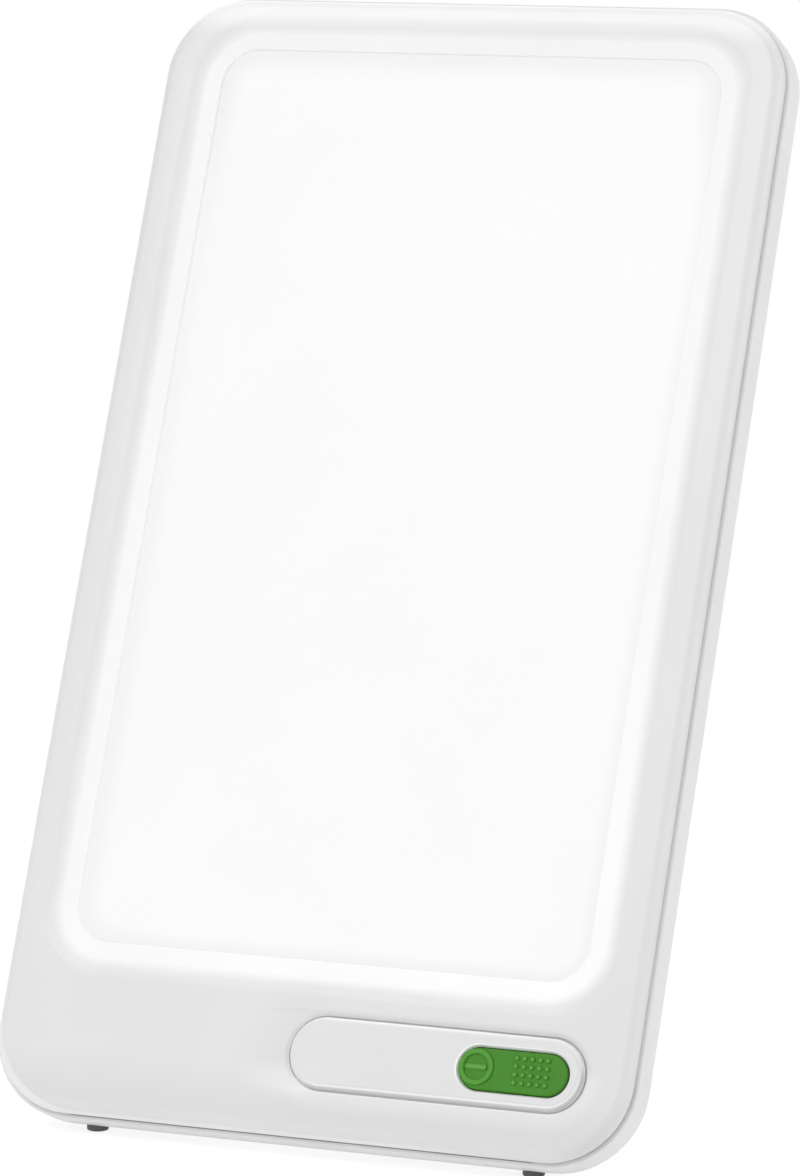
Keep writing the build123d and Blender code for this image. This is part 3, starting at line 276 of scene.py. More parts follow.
# Effects that several finishes share are node groups.
def newGroup(name, takes, gives):
    tree = bpy.data.node_groups.new(name, "ShaderNodeTree")
    for label, kind, value in takes:
        socket = tree.interface.new_socket(label, in_out="INPUT", socket_type="NodeSocket" + kind)
        if value is not None:
            socket.default_value = value
    for label, kind in gives:
        tree.interface.new_socket(label, in_out="OUTPUT", socket_type="NodeSocket" + kind)
    entry = addNode(tree, "NodeGroupInput", -1200, 0)
    leave = addNode(tree, "NodeGroupOutput", 900, 0)
    return tree, entry, leave


def addNoise(tree, x, y, place, scale, detail, roughness):
    noise = addNode(tree, "ShaderNodeTexNoise", x, y, Detail=detail, Roughness=roughness)
    tree.links.new(place, noise.inputs["Vector"])
    if isinstance(scale, (int, float)):
        noise.inputs["Scale"].default_value = scale
    else:
        tree.links.new(scale, noise.inputs["Scale"])
    return noise.outputs[0]


def makePanelPlace():
    # object coordinates turned to the panel: across, up the slope, out of the face
    tree, _, leave = newGroup("panelPlace", (), (("Place", "Vector"),))
    source = addNode(tree, "ShaderNodeTexCoord", -700, 0)
    turn = stance["lean"] - math.pi / 2
    shift = -(Matrix.Rotation(turn, 3, "X") @ panelFoot)
    mapping = addNode(tree, "ShaderNodeMapping", -400, 0, Rotation=(turn, 0, 0), Location=shift)
    tree.links.new(source.outputs["Object"], mapping.inputs["Vector"])
    tree.links.new(mapping.outputs[0], leave.inputs["Place"])
    return tree


def makeOutlineReach():
    # distance from a rounded rectangle's outline across the face, positive outside
    tree, entry, leave = newGroup(
        "outlineReach",
        (
            ("Place", "Vector", None), ("Half Width", "Float", 0.1), ("Half Height", "Float", 0.1),
            ("Middle", "Float", 0.2), ("Corner", "Float", 0.01),
        ),
        (("Distance", "Float"),),
    )
    corner = entry.outputs["Corner"]
    parts = addNode(tree, "ShaderNodeSeparateXYZ", -1000, 0)
    tree.links.new(entry.outputs["Place"], parts.inputs[0])
    across = addMath(tree, -800, 150, "ABSOLUTE", parts.outputs["X"])
    across = addMath(tree, -600, 150, "SUBTRACT", across, entry.outputs["Half Width"])
    across = addMath(tree, -450, 150, "ADD", across, corner)
    up = addMath(tree, -800, -150, "SUBTRACT", parts.outputs["Y"], entry.outputs["Middle"])
    up = addMath(tree, -700, -150, "ABSOLUTE", up)
    up = addMath(tree, -600, -150, "SUBTRACT", up, entry.outputs["Half Height"])
    up = addMath(tree, -450, -150, "ADD", up, corner)
    outX = addMath(tree, -200, 250, "MAXIMUM", across, 0.0)
    outY = addMath(tree, -200, -250, "MAXIMUM", up, 0.0)
    squareX = addMath(tree, 0, 250, "MULTIPLY", outX, outX)
    squareY = addMath(tree, 0, -250, "MULTIPLY", outY, outY)
    far = addMath(tree, 200, 100, "ADD", squareX, squareY)
    far = addMath(tree, 350, 100, "SQRT", far)
    near = addMath(tree, 0, 0, "MAXIMUM", across, up)
    near = addMath(tree, 200, -100, "MINIMUM", near, 0.0)
    whole = addMath(tree, 500, 0, "ADD", far, near)
    whole = addMath(tree, 650, 0, "SUBTRACT", whole, corner)
    tree.links.new(whole, leave.inputs["Distance"])
    return tree


mould = {
    "fine": (1.0, 0.6),  # detail and roughness of the noise
    "slow": (2.0, 0.55),
    "drift": (0.3, 0.7),
}


def makeMouldGrain():
    # the fine sparked texture of a mould, and the slow drift of its tone
    tree, entry, leave = newGroup(
        "mouldGrain",
        (("Place", "Vector", None), ("Grain", "Float", 2200.0), ("Patch", "Float", 18.0)),
        (("Height", "Float"), ("Drift", "Float")),
    )
    place = entry.outputs["Place"]
    height = addNoise(tree, -600, 200, place, entry.outputs["Grain"], *mould["fine"])
    drift = addNoise(tree, -600, -300, place, entry.outputs["Patch"], *mould["slow"])
    drift = addFade(tree, -300, -300, drift, *mould["drift"])
    tree.links.new(height, leave.inputs["Height"])
    tree.links.new(drift, leave.inputs["Drift"])
    return tree


def makeCapsuleReach():
    # distance from a capsule's outline across the face, positive outside
    tree, entry, leave = newGroup(
        "capsuleReach",
        (
            ("Place", "Vector", None), ("Across", "Float", 0.0), ("Up", "Float", 0.0),
            ("Straight", "Float", 0.01), ("Radius", "Float", 0.01),
        ),
        (("Distance", "Float"),),
    )
    parts = addNode(tree, "ShaderNodeSeparateXYZ", -1000, 0)
    tree.links.new(entry.outputs["Place"], parts.inputs[0])
    across = addMath(tree, -800, 150, "SUBTRACT", parts.outputs["X"], entry.outputs["Across"])
    across = addMath(tree, -600, 150, "ABSOLUTE", across)
    across = addMath(tree, -400, 150, "SUBTRACT", across, entry.outputs["Straight"])
    across = addMath(tree, -200, 150, "MAXIMUM", across, 0.0)
    up = addMath(tree, -800, -150, "SUBTRACT", parts.outputs["Y"], entry.outputs["Up"])
    squareX = addMath(tree, 0, 150, "MULTIPLY", across, across)
    squareY = addMath(tree, 0, -150, "MULTIPLY", up, up)
    far = addMath(tree, 200, 0, "ADD", squareX, squareY)
    far = addMath(tree, 400, 0, "SQRT", far)
    far = addMath(tree, 600, 0, "SUBTRACT", far, entry.outputs["Radius"])
    tree.links.new(far, leave.inputs["Distance"])
    return tree


softEdge = {"samples": 4, "turned": (0.98, 0.75)}


def makeSoftEdge():
    # a small radius on hard edges, and a mask of where it lies
    tree, entry, leave = newGroup(
        "softEdge", (("Width", "Float", 0.0003),), (("Normal", "Vector"), ("Edge", "Float"))
    )
    bevel = addNode(tree, "ShaderNodeBevel", -600, 100, samples=softEdge["samples"])
    flat = addNode(tree, "ShaderNodeNewGeometry", -600, -150)
    tree.links.new(entry.outputs["Width"], bevel.inputs["Radius"])
    turn = addNode(tree, "ShaderNodeVectorMath", -350, 0, operation="DOT_PRODUCT")
    tree.links.new(bevel.outputs[0], turn.inputs[0])
    tree.links.new(flat.outputs["Normal"], turn.inputs[1])
    edge = addRange(tree, -100, 0, turn.outputs["Value"], *softEdge["turned"])
    tree.links.new(bevel.outputs[0], leave.inputs["Normal"])
    tree.links.new(edge, leave.inputs["Edge"])
    return tree


drawn = {
    "fine": (4.0, 0.7),  # detail and roughness of the noise
    "broad": (2.0, 0.5),
    "broadShare": 0.2,
    "shown": (0.12, 0.4),
}


def makeDrawnLines():
    # long fine scratches along one way, as on drawn or rolled metal
    tree, entry, leave = newGroup(
        "drawnLines",
        (("Place", "Vector", None), ("Stretch", "Vector", (1, 40, 40)), ("Fine", "Float", 90.0)),
        (("Height", "Float"), ("Lines", "Float")),
    )
    scaled = addNode(tree, "ShaderNodeVectorMath", -900, 0, operation="MULTIPLY")
    tree.links.new(entry.outputs["Place"], scaled.inputs[0])
    tree.links.new(entry.outputs["Stretch"], scaled.inputs[1])
    lines = addNoise(tree, -600, 100, scaled.outputs[0], entry.outputs["Fine"], *drawn["fine"])
    broad = addMath(tree, -800, -200, "MULTIPLY", entry.outputs["Fine"], drawn["broadShare"])
    bands = addNoise(tree, -600, -200, scaled.outputs[0], broad, *drawn["broad"])
    tree.links.new(lines, leave.inputs["Height"])
    mixed = addMath(tree, -200, 0, "MULTIPLY", lines, bands)
    shown = addRange(tree, 0, 0, mixed, *drawn["shown"])
    tree.links.new(shown, leave.inputs["Lines"])
    return tree


effects = {
    "panelPlace": makePanelPlace(),
    "outlineReach": makeOutlineReach(),
    "mouldGrain": makeMouldGrain(),
    "capsuleReach": makeCapsuleReach(),
    "softEdge": makeSoftEdge(),
    "drawnLines": makeDrawnLines(),
}
print("shader effects built:", len(effects))


def addEffect(tree, name, x, y, place=None, **values):
    node = addNode(tree, "ShaderNodeGroup", x, y, node_tree=effects[name])
    for label, value in values.items():
        node.inputs[label].default_value = value
    if place is not None:
        tree.links.new(place, node.inputs["Place"])
    return node


def startFinish(name, **values):
    material = bpy.data.materials.new(name)
    material.use_nodes = True
    tree = material.node_tree
    shader = tree.nodes["Principled BSDF"]
    for label, value in values.items():
        shader.inputs[label].default_value = value
    place = addNode(tree, "ShaderNodeTexCoord", -1600, 0).outputs["Object"]
    return material, tree, shader, place


def addBump(tree, shader, height, depth, normal=None):
    bump = addNode(tree, "ShaderNodeBump", -250, -350, Strength=1.0, Distance=depth)
    tree.links.new(height, bump.inputs["Height"])
    if normal is not None:
        tree.links.new(normal, bump.inputs["Normal"])
    tree.links.new(bump.outputs[0], shader.inputs["Normal"])


# In the dictionaries below most pairs are where a fade starts and where it is full.
grainSpan = (0.3, 0.9)
rubShare = 0.6
plastics = {
    "white_plastic": {
        "tone": (0.80, 0.80, 0.80), "drift": (0.77, 0.771, 0.773),
        "smooth": 0.42, "matt": 0.58, "grain": 1300.0, "depth": 0.000045, "patch": 22.0,
    },
    "green_key": {
        "tone": (0.054, 0.248, 0.013), "drift": (0.048, 0.230, 0.011),
        "smooth": 0.40, "matt": 0.52, "grain": 2600.0, "depth": 0.000014, "patch": 160.0,
    },
    "black_plastic": {
        "tone": (0.022, 0.022, 0.024), "drift": (0.034, 0.034, 0.036),
        "smooth": 0.34, "matt": 0.5, "grain": 2800.0, "depth": 0.00002, "patch": 120.0,
        "edge": 0.0002, "rub": (0.07, 0.07, 0.075),
    },
    "ivory_plastic": {
        "tone": (0.74, 0.70, 0.57), "drift": (0.68, 0.635, 0.50),
        "smooth": 0.32, "matt": 0.45, "grain": 2400.0, "depth": 0.00001, "patch": 160.0,
        "edge": 0.00018, "rub": (0.80, 0.77, 0.66),
    },
    "lead_jacket": {
        "tone": (0.79, 0.79, 0.78), "drift": (0.72, 0.72, 0.70),
        "smooth": 0.38, "matt": 0.52, "grain": 1800.0, "depth": 0.00001, "patch": 60.0,
        "edge": 0.0001, "rub": (0.82, 0.82, 0.81),
    },
    "white_film": {
        "tone": (0.86, 0.86, 0.87), "drift": (0.82, 0.82, 0.83),
        "smooth": 0.28, "matt": 0.40, "grain": 5200.0, "depth": 0.000005, "patch": 24.0,
        "edge": 0.0001, "rub": (0.88, 0.88, 0.88),
    },
}
# The front is moulded smoother than the back and the leg.
frontLook = {
    "tone": (0.80, 0.80, 0.80), "drift": (0.775, 0.776, 0.778),
    "smooth": 0.36, "matt": 0.46, "grain": 2400.0, "depth": 0.000014, "patch": 14.0,
}


def mouldFinish(name, look):
    material, tree, shader, place = startFinish(name)
    grain = addEffect(tree, "mouldGrain", -1300, 0, place, Grain=look["grain"], Patch=look["patch"])
    colour = addBlend(tree, -1000, 200, grain.outputs["Drift"], look["tone"], look["drift"])
    normal = None
    if "edge" in look:
        edge = addEffect(tree, "softEdge", -1300, -300, Width=look["edge"])
        normal = edge.outputs["Normal"]
    if "rub" in look:
        rubbed = addMath(tree, -1000, -150, "MULTIPLY", edge.outputs["Edge"], rubShare)
        colour = addBlend(tree, -700, 200, rubbed, colour, look["rub"])
    rough = addRange(
        tree, -700, -50, grain.outputs["Height"], *grainSpan, look["smooth"], look["matt"]
    )
    tree.links.new(colour, shader.inputs["Base Color"])
    tree.links.new(rough, shader.inputs["Roughness"])
    addBump(tree, shader, grain.outputs["Height"], look["depth"], normal)
    return material, tree, shader


finishes = {name: mouldFinish(name, look)[0] for name, look in plastics.items()}

# Outlines on the face, which the finishes shade to.
window = {"Half Width": 0.0885, "Half Height": 0.15225, "Middle": 0.20985, "Corner": 0.0125}
shell = {"Half Width": 0.1085, "Half Height": 0.1887, "Middle": 0.1902, "Corner": 0.0315}
plate = {"Across": 0.0440, "Up": 0.0282, "Straight": 0.0381, "Radius": 0.0116}
key = {"Across": 0.0700, "Up": 0.0282, "Straight": 0.01145, "Radius": 0.00665}
windowFoot = window["Middle"] - window["Half Height"]
windowTop = window["Middle"] + window["Half Height"]


def panelParts(tree, x, y):
    # the place on the panel, and its parts: across, up the slope, out of the face
    place = addEffect(tree, "panelPlace", x, y).outputs["Place"]
    parts = addNode(tree, "ShaderNodeSeparateXYZ", x + 200, y + 250)
    tree.links.new(place, parts.inputs[0])
    return place, parts.outputs


def addReach(tree, shape, x, y, place, **outline):
    return addEffect(tree, shape, x, y, place, **outline).outputs["Distance"]


def addStripe(tree, x, y, reach, inset, half, most=1.0):
    # a soft line that runs round inside an outline
    away = addMath(tree, x, y, "ADD", reach, inset)
    away = addMath(tree, x + 150, y, "ABSOLUTE", away)
    return addFade(tree, x + 300, y, away, half, 0.0, most)


def feeding(shader, label):
    return shader.inputs[label].links[0].from_socket


def addRelief(tree, shader, height, depth):
    # a broader relief under the grain that the finish has already
    relief = addNode(tree, "ShaderNodeBump", -100, -500, Strength=1.0, Distance=depth)
    tree.links.new(height, relief.inputs["Height"])
    tree.links.new(feeding(shader, "Normal"), relief.inputs["Normal"])
    tree.links.new(relief.outputs[0], shader.inputs["Normal"])


# The front frame's lip is thin. Its glow is painted light for the window's light on the ledge,
# stronger at the window's foot and right side.
lip = {
    "glow": 1.0,
    "ledge": (0.0113, 0.0043),
    "ledgeShare": (0.172, 0.106),  # along the window's foot and its top
    "ledgeSides": (0.88, 1.12),  # at its left and its right
    "wall": (0.0005, 0.0001),
    "wallDepth": (0.0029, 0.0026),
    "wallShare": 0.46,
    "strip": (0.3650, 0.3740),
    "stripShare": 0.11,
    "seamLightStart": 0.9,  # as a share of the way to the side
    "seamLightShare": 0.12,
}


def paintLightOnLip(tree, shader, place, parts, openWall):
    reach = addReach(tree, "outlineReach", -1300, 600, place, **window)
    # painted light on the ledge, stronger at the window's foot and right side
    ledge = addFade(tree, -1100, 600, reach, *lip["ledge"])
    most = addRange(tree, -1100, 750, parts["Y"], windowFoot, windowTop, *lip["ledgeShare"])
    sides = addRange(
        tree, -1100, 450, parts["X"], -window["Half Width"], window["Half Width"],
        *lip["ledgeSides"],
    )
    share = addProduct(tree, -900, 600, ledge, most, sides)
    # the upper row of chips lies just behind the top band; the band's glow is painted light for the
    # light its crowned ridge catches
    strip = addFade(tree, -1100, 1100, parts["Y"], *lip["strip"], lip["stripShare"])
    share = addMath(tree, -900, 800, "MAXIMUM", share, strip)
    # painted light on the lip's inner wall, which stands right beside the lit panel
    inner = addRange(tree, -1100, 350, reach, *lip["wall"], 0.0, lip["wallShare"])
    below = addRange(tree, -1100, 150, parts["Z"], *lip["wallDepth"])
    wall = addProduct(tree, -900, 300, inner, below)
    share = addMath(tree, -700, 800, "MAXIMUM", share, wall)
    # painted light in the joint at the right side, which lightens its shade
    side = shell["Half Width"]
    seamLight = addRange(
        tree, -1100, -50, parts["X"], lip["seamLightStart"] * side, side, 0.0, lip["seamLightShare"]
    )
    seamLight = addProduct(tree, -900, 100, seamLight, openWall)
    share = addMath(tree, -550, 800, "MAXIMUM", share, seamLight)
    glow = addBlend(tree, -300, 800, share, black, white)
    shader.inputs["Emission Strength"].default_value = lip["glow"]
    tree.links.new(glow, shader.inputs["Emission Color"])


chin = {
    "shade": (0.62, 0.62, 0.62),
    "foot": (0.022, 0.009),
    "footShare": 0.34,
    "footClear": (0.002, 0.006),
}


def shadeChin(tree, tone, parts):
    # the chin falls into soft shade towards its foot
    foot = addRange(tree, -1100, 2200, parts["Y"], *chin["foot"], 0.0, chin["footShare"])
    clear = addRange(tree, -1100, 2300, parts["Y"], *chin["footClear"])
    foot = addProduct(tree, -900, 2200, foot, clear)
    return addBlend(tree, -650, 1400, foot, tone, chin["shade"])


# The dish round the plate's left end: in shade above, catching the light below.
# Its levels are in plate radii from the plate's middle line.
dish = {
    "shade": (0.755, 0.755, 0.755),
    "lift": (0.845, 0.845, 0.845),
    "reach": (0.021, 0.0),
    "side": (0.009, -0.004),
    "foot": (-1.4, -0.95),
    "tilt": (-0.75, -0.25),
}


def shadeDish(tree, tone, parts, around):
    level = addMath(tree, -1300, 2900, "SUBTRACT", parts["Y"], plate["Up"])
    level = addMath(tree, -1150, 2900, "DIVIDE", level, plate["Radius"])
    hollow = addProduct(
        tree, -900, 2600,
        addFade(tree, -1100, 2600, around, *dish["reach"]),
        addFade(tree, -1100, 2750, parts["X"], *dish["side"]),
        addFade(tree, -1100, 2900, level, *dish["foot"]),
    )
    tilt = addFade(tree, -900, 3050, level, *dish["tilt"])
    turned = addBlend(tree, -700, 2900, tilt, dish["lift"], dish["shade"])
    return addBlend(tree, -600, 1500, hollow, tone, turned)


# The joint round the plate. Less light gets into it below the plate than above:
# "dark" and "under" count from 0 over the plate to 1 under it.
joint = {
    "lean": 0.12,
    "tone": (0.09, 0.09, 0.09),
    "pale": (0.82, 0.82, 0.82),
    "dark": (0.3, 0.8),
    "reach": (0.00075, 0.0004125),
    "depth": (0.0040, 0.0037),
    "shade": (0.62, 0.62, 0.62),
    "shadeReach": (0.0024, 0.0),
    "lift": (0.92, 0.92, 0.92),
    "liftReach": (0.0070, 0.0),
    "liftShare": 0.55,
    "under": (0.5, 0.8),
    "start": (-0.010, 0.010),
    "startShare": 0.35,
}


def addLower(tree, x, y, parts):
    # 0 over the plate's upper left edge, 1 under its lower right one
    across = addMath(tree, x, y, "SUBTRACT", parts["X"], plate["Across"])
    across = addMath(tree, x + 150, y, "MULTIPLY", across, joint["lean"])
    rise = addMath(tree, x, y + 150, "SUBTRACT", plate["Up"], parts["Y"])
    slant = addMath(tree, x + 300, y, "ADD", across, rise)
    return addRange(tree, x + 450, y, slant, -plate["Radius"], plate["Radius"])


def shadePlateJoint(tree, tone, parts, around):
    lower = addLower(tree, -1100, 1900, parts)
    under = addFade(tree, -850, 2050, lower, *joint["under"])
    # soft shade beside the joint, and soft light under the plate
    soft = addProduct(
        tree, -900, 1550,
        addFade(tree, -1100, 1550, around, *joint["shadeReach"]),
        addRange(tree, -1100, 2400, parts["X"], *joint["start"], joint["startShare"], 1.0),
    )
    lifted = addRange(tree, -1100, 1700, around, *joint["liftReach"], 0.0, joint["liftShare"])
    lifted = addProduct(tree, -900, 1850, lifted, under)
    soft = addMath(tree, -750, 1550, "MAXIMUM", soft, lifted)
    beside = addBlend(tree, -700, 1650, under, joint["shade"], joint["lift"])
    tone = addBlend(tree, -500, 1300, soft, tone, beside)
    # deep in the joint
    near = addRange(tree, -1100, 1400, around, *joint["reach"])
    deep = addRange(tree, -1100, 1250, parts["Z"], *joint["depth"])
    gap = addProduct(tree, -900, 1350, near, deep)
    depth = addRange(tree, -850, 1900, lower, *joint["dark"])
    dark = addBlend(tree, -700, 1500, depth, joint["pale"], joint["tone"])
    return addBlend(tree, -400, 1200, gap, tone, dark)


# The frame's outer edge: a painted highlight along its foot, painted shade at the upper left.
outerEdge = {
    "footHighlight": (0.87, 0.87, 0.87),
    "footHighlightReach": (-0.0009, -0.00045),
    "footHighlightSide": (0.075, 0.030),
    "shade": (0.715, 0.715, 0.715),
    "shadeReach": (-0.016, 0.0),
    "shadeStart": 0.75,  # as a share of the way to the side
    "shadeShare": (0.15, 1.0),  # level with the window's foot and its top
}


def shadeEdge(tree, tone, place, parts):
    reach = addReach(tree, "outlineReach", -1500, 3300, place, **shell)
    # painted highlight along the foot of the outer edge
    footHighlight = addFade(tree, -1100, 3300, reach, *outerEdge["footHighlightReach"])
    ends = addRange(tree, -1100, 3450, parts["X"], *outerEdge["footHighlightSide"])
    footHighlight = addProduct(tree, -900, 3300, footHighlight, ends)
    tone = addBlend(tree, -350, 1200, footHighlight, tone, outerEdge["footHighlight"])
    side = shell["Half Width"]
    shade = addProduct(
        tree, -900, 3700,
        addFade(tree, -1100, 3700, reach, *outerEdge["shadeReach"]),
        addRange(tree, -1100, 3850, parts["X"], -outerEdge["shadeStart"] * side, -side),
        addRange(tree, -1100, 4000, parts["Y"], windowFoot, windowTop, *outerEdge["shadeShare"]),
    )
    return addBlend(tree, -320, 1300, shade, tone, outerEdge["shade"])


# The joint between the shells: painted shade makes it dark along the bottom, and painted light
# makes it pale up the sides.
seam = {
    "low": (0.22, 0.22, 0.22),
    "side": (0.97, 0.97, 0.97),
    "rise": (0.010, 0.040),
    "frameWall": (0.0009, 0.00054),
    "shellReach": (0.0004, 0.00016),
    "shellWall": (-0.0015, -0.0010),
}


def addSeam(tree, x, y, parts):
    side = addFade(tree, x, y, parts["Y"], *seam["rise"])
    return addBlend(tree, x + 200, y, side, seam["low"], seam["side"])


def finishFrame():
    material, tree, shader = mouldFinish("frame_plastic", frontLook)
    place, parts = panelParts(tree, -1700, 600)
    around = addReach(tree, "capsuleReach", -1500, 1300, place, **plate)
    wall = addFade(tree, -900, 1700, parts["Z"], *seam["frameWall"])
    paintLightOnLip(tree, shader, place, parts, wall)
    tone = shadeChin(tree, feeding(shader, "Base Color"), parts)
    tone = shadeDish(tree, tone, parts, around)
    tone = shadePlateJoint(tree, tone, parts, around)
    tone = shadeEdge(tree, tone, place, parts)
    tone = addBlend(tree, -300, 1200, wall, tone, addSeam(tree, -700, 3500, parts))
    tree.links.new(tone, shader.inputs["Base Color"])
    return material


def finishShell():
    # the rear housing, with painted shade along the bottom of the joint where the front frame meets
    # it, and painted light up its sides
    material, tree, shader = mouldFinish("shell_plastic", plastics["white_plastic"])
    place, parts = panelParts(tree, -1500, 700)
    reach = addReach(tree, "outlineReach", -1300, 700, place, **shell)
    inner = addRange(tree, -1100, 700, reach, *seam["shellReach"])
    front = addRange(tree, -1100, 950, parts["Z"], *seam["shellWall"])
    gap = addProduct(tree, -900, 800, inner, front)
    tone = feeding(shader, "Base Color")
    tone = addBlend(tree, -700, 600, gap, tone, addSeam(tree, -1000, 1200, parts))
    tree.links.new(tone, shader.inputs["Base Color"])
    return material


# The plate's rounded edge and the bevel round the key are polished, with a lower roughness, and
# painted lighter as a painted highlight, the edge most at its top; the side walls are painted dark
# as painted shade. "upper", "away" and "glint" count from 0 over it to 1 under it.
rim = {
    "tone": (0.97, 0.97, 0.97),
    "share": 0.9,
    "gloss": 0.14,
    "edge": (-0.0013, -0.00039),
    "upper": (0.7, 0.4),
    "bevel": (0.0012, 0.00084),
    "away": (0.6, 0.8),
    "rollShadeTone": (0.64, 0.64, 0.64),
    "roll": (-0.0012, -0.00072),
    "crestHighlight": 0.0013,
    "crestHalf": 0.0005,
    "valleyShadeTone": (0.72, 0.72, 0.72),
    "valleyShade": 0.0020,
    "valleyHalf": 0.0003,
    "joint": (0.14, 0.14, 0.14),
    "hole": (0.020, 0.075, 0.012),
    "holeReach": (0.0009, 0.0006),
    "wall": (0.0039, 0.0035),
    "crown": 0.0018,
    "crownPower": 0.5,
    "crownDrop": 0.0007,
    "glintStrength": 0.15,
    "glint": (0.3, 0.1),
    "glintWall": (0.0039, 0.0041),
}


def finishPlate():
    material, tree, shader = mouldFinish("plate_plastic", frontLook)
    place, parts = panelParts(tree, -1700, 700)
    outline = addReach(tree, "capsuleReach", -1500, 900, place, **plate)
    opening = addReach(tree, "capsuleReach", -1500, 600, place, **key)
    lower = addLower(tree, -1100, 1700, parts)
    glossAndHighlight = addFade(tree, -1100, 900, outline, *rim["edge"], rim["share"])
    upper = addFade(tree, -900, 900, lower, *rim["upper"])
    glossAndHighlight = addProduct(tree, -900, 1000, glossAndHighlight, upper)
    # painted highlight: the upper edge glows a little, for the light it catches most
    glint = addProduct(
        tree, -750, 1900, glossAndHighlight,
        addRange(tree, -900, 1900, lower, *rim["glint"]),
        addRange(tree, -900, 2050, parts["Z"], *rim["glintWall"]),
    )
    glint = addBlend(tree, -300, 1900, glint, black, white)
    tree.links.new(glint, shader.inputs["Emission Color"])
    shader.inputs["Emission Strength"].default_value = rim["glintStrength"]
    # painted light and shade at the lower right, for an edge that rolls away: a light crest, a
    # darker shallow valley and a shaded roll
    away = addFade(tree, -900, 1500, lower, *rim["away"])
    rollShade = addProduct(tree, -700, 1500, addFade(tree, -1100, 1300, outline, *rim["roll"]), away)
    valleyShade = addStripe(tree, -1100, 1350, outline, rim["valleyShade"], rim["valleyHalf"])
    valleyShade = addProduct(tree, -650, 1350, valleyShade, away)
    crestHighlight = addStripe(tree, -1100, 1150, outline, rim["crestHighlight"], rim["crestHalf"], rim["share"])
    crestHighlight = addProduct(tree, -650, 1150, crestHighlight, away)
    bevel = addFade(tree, -1100, 600, opening, *rim["bevel"], rim["share"])
    bright = addMath(tree, -650, 1000, "MAXIMUM", glossAndHighlight, crestHighlight)
    bright = addMath(tree, -500, 750, "MAXIMUM", bright, bevel)
    # painted shade on the side walls, outside and in the key's opening, darker at the lower right
    walls = addRange(tree, -1100, 1100, parts["Z"], *rim["wall"])
    inHole = addRange(tree, -1100, 350, opening, *rim["holeReach"])
    dark = addBlend(tree, -900, 450, lower, joint["pale"], rim["joint"])
    dark = addBlend(tree, -700, 500, inHole, dark, rim["hole"])
    colour = addBlend(tree, -750, 900, valleyShade, feeding(shader, "Base Color"), rim["valleyShadeTone"])
    colour = addBlend(tree, -600, 900, rollShade, colour, rim["rollShadeTone"])
    colour = addBlend(tree, -500, 800, bright, colour, rim["tone"])
    colour = addBlend(tree, -300, 800, walls, colour, dark)
    tree.links.new(colour, shader.inputs["Base Color"])
    rough = addNode(tree, "ShaderNodeMix", -300, 400, data_type="FLOAT")
    rough.inputs[3].default_value = rim["gloss"]
    tree.links.new(bright, rough.inputs[0])
    tree.links.new(feeding(shader, "Roughness"), rough.inputs[2])
    tree.links.new(rough.outputs[0], shader.inputs["Roughness"])
    # the face rolls over towards its outline
    roll = addRange(tree, -1100, 1400, outline, -rim["crown"], 0.0, 1.0, 0.0)
    height = addMath(tree, -900, 1400, "POWER", roll, rim["crownPower"])
    addRelief(tree, shader, height, rim["crownDrop"])
    return material


marks = {
    "ring": (0.0577, 0.0286),
    "ringRadius": 0.00495,
    "ringHalf": 0.00085,
    "ringHighlight": (0.082, 0.318, 0.028),
    "ringFade": (0.0003, -0.0003),
    "barStraight": 0.00285,
    "barRadius": 0.00085,
    "dots": (0.0761, 0.0286),
    "pitch": 0.0026,
    "columns": 5,
    "rows": 4,
    "dotRadius": 0.00070,
    "raised": (0.115, 0.375, 0.058),
    "raisedFade": (0.0003, -0.0004),
    "shoulder": (0.00050, -0.00025),
    "relief": 0.00030,
    "specular": 0.25,
}


def repeatAlong(tree, y, value, middle, count):
    # how far off the nearest dot's middle line, and how far outside the block
    span = marks["pitch"] * count
    along = addMath(tree, -1600, y, "SUBTRACT", value, middle - span / 2)
    cell = addMath(tree, -1450, y, "MODULO", along, marks["pitch"])
    offset = addMath(tree, -1300, y, "SUBTRACT", cell, marks["pitch"] / 2)
    centred = addMath(tree, -1450, y + 100, "SUBTRACT", along, span / 2)
    spread = addMath(tree, -1300, y + 100, "ABSOLUTE", centred)
    outside = addMath(tree, -1150, y + 100, "SUBTRACT", spread, span / 2)
    return addMath(tree, -1000, y, "MULTIPLY", offset, offset), outside


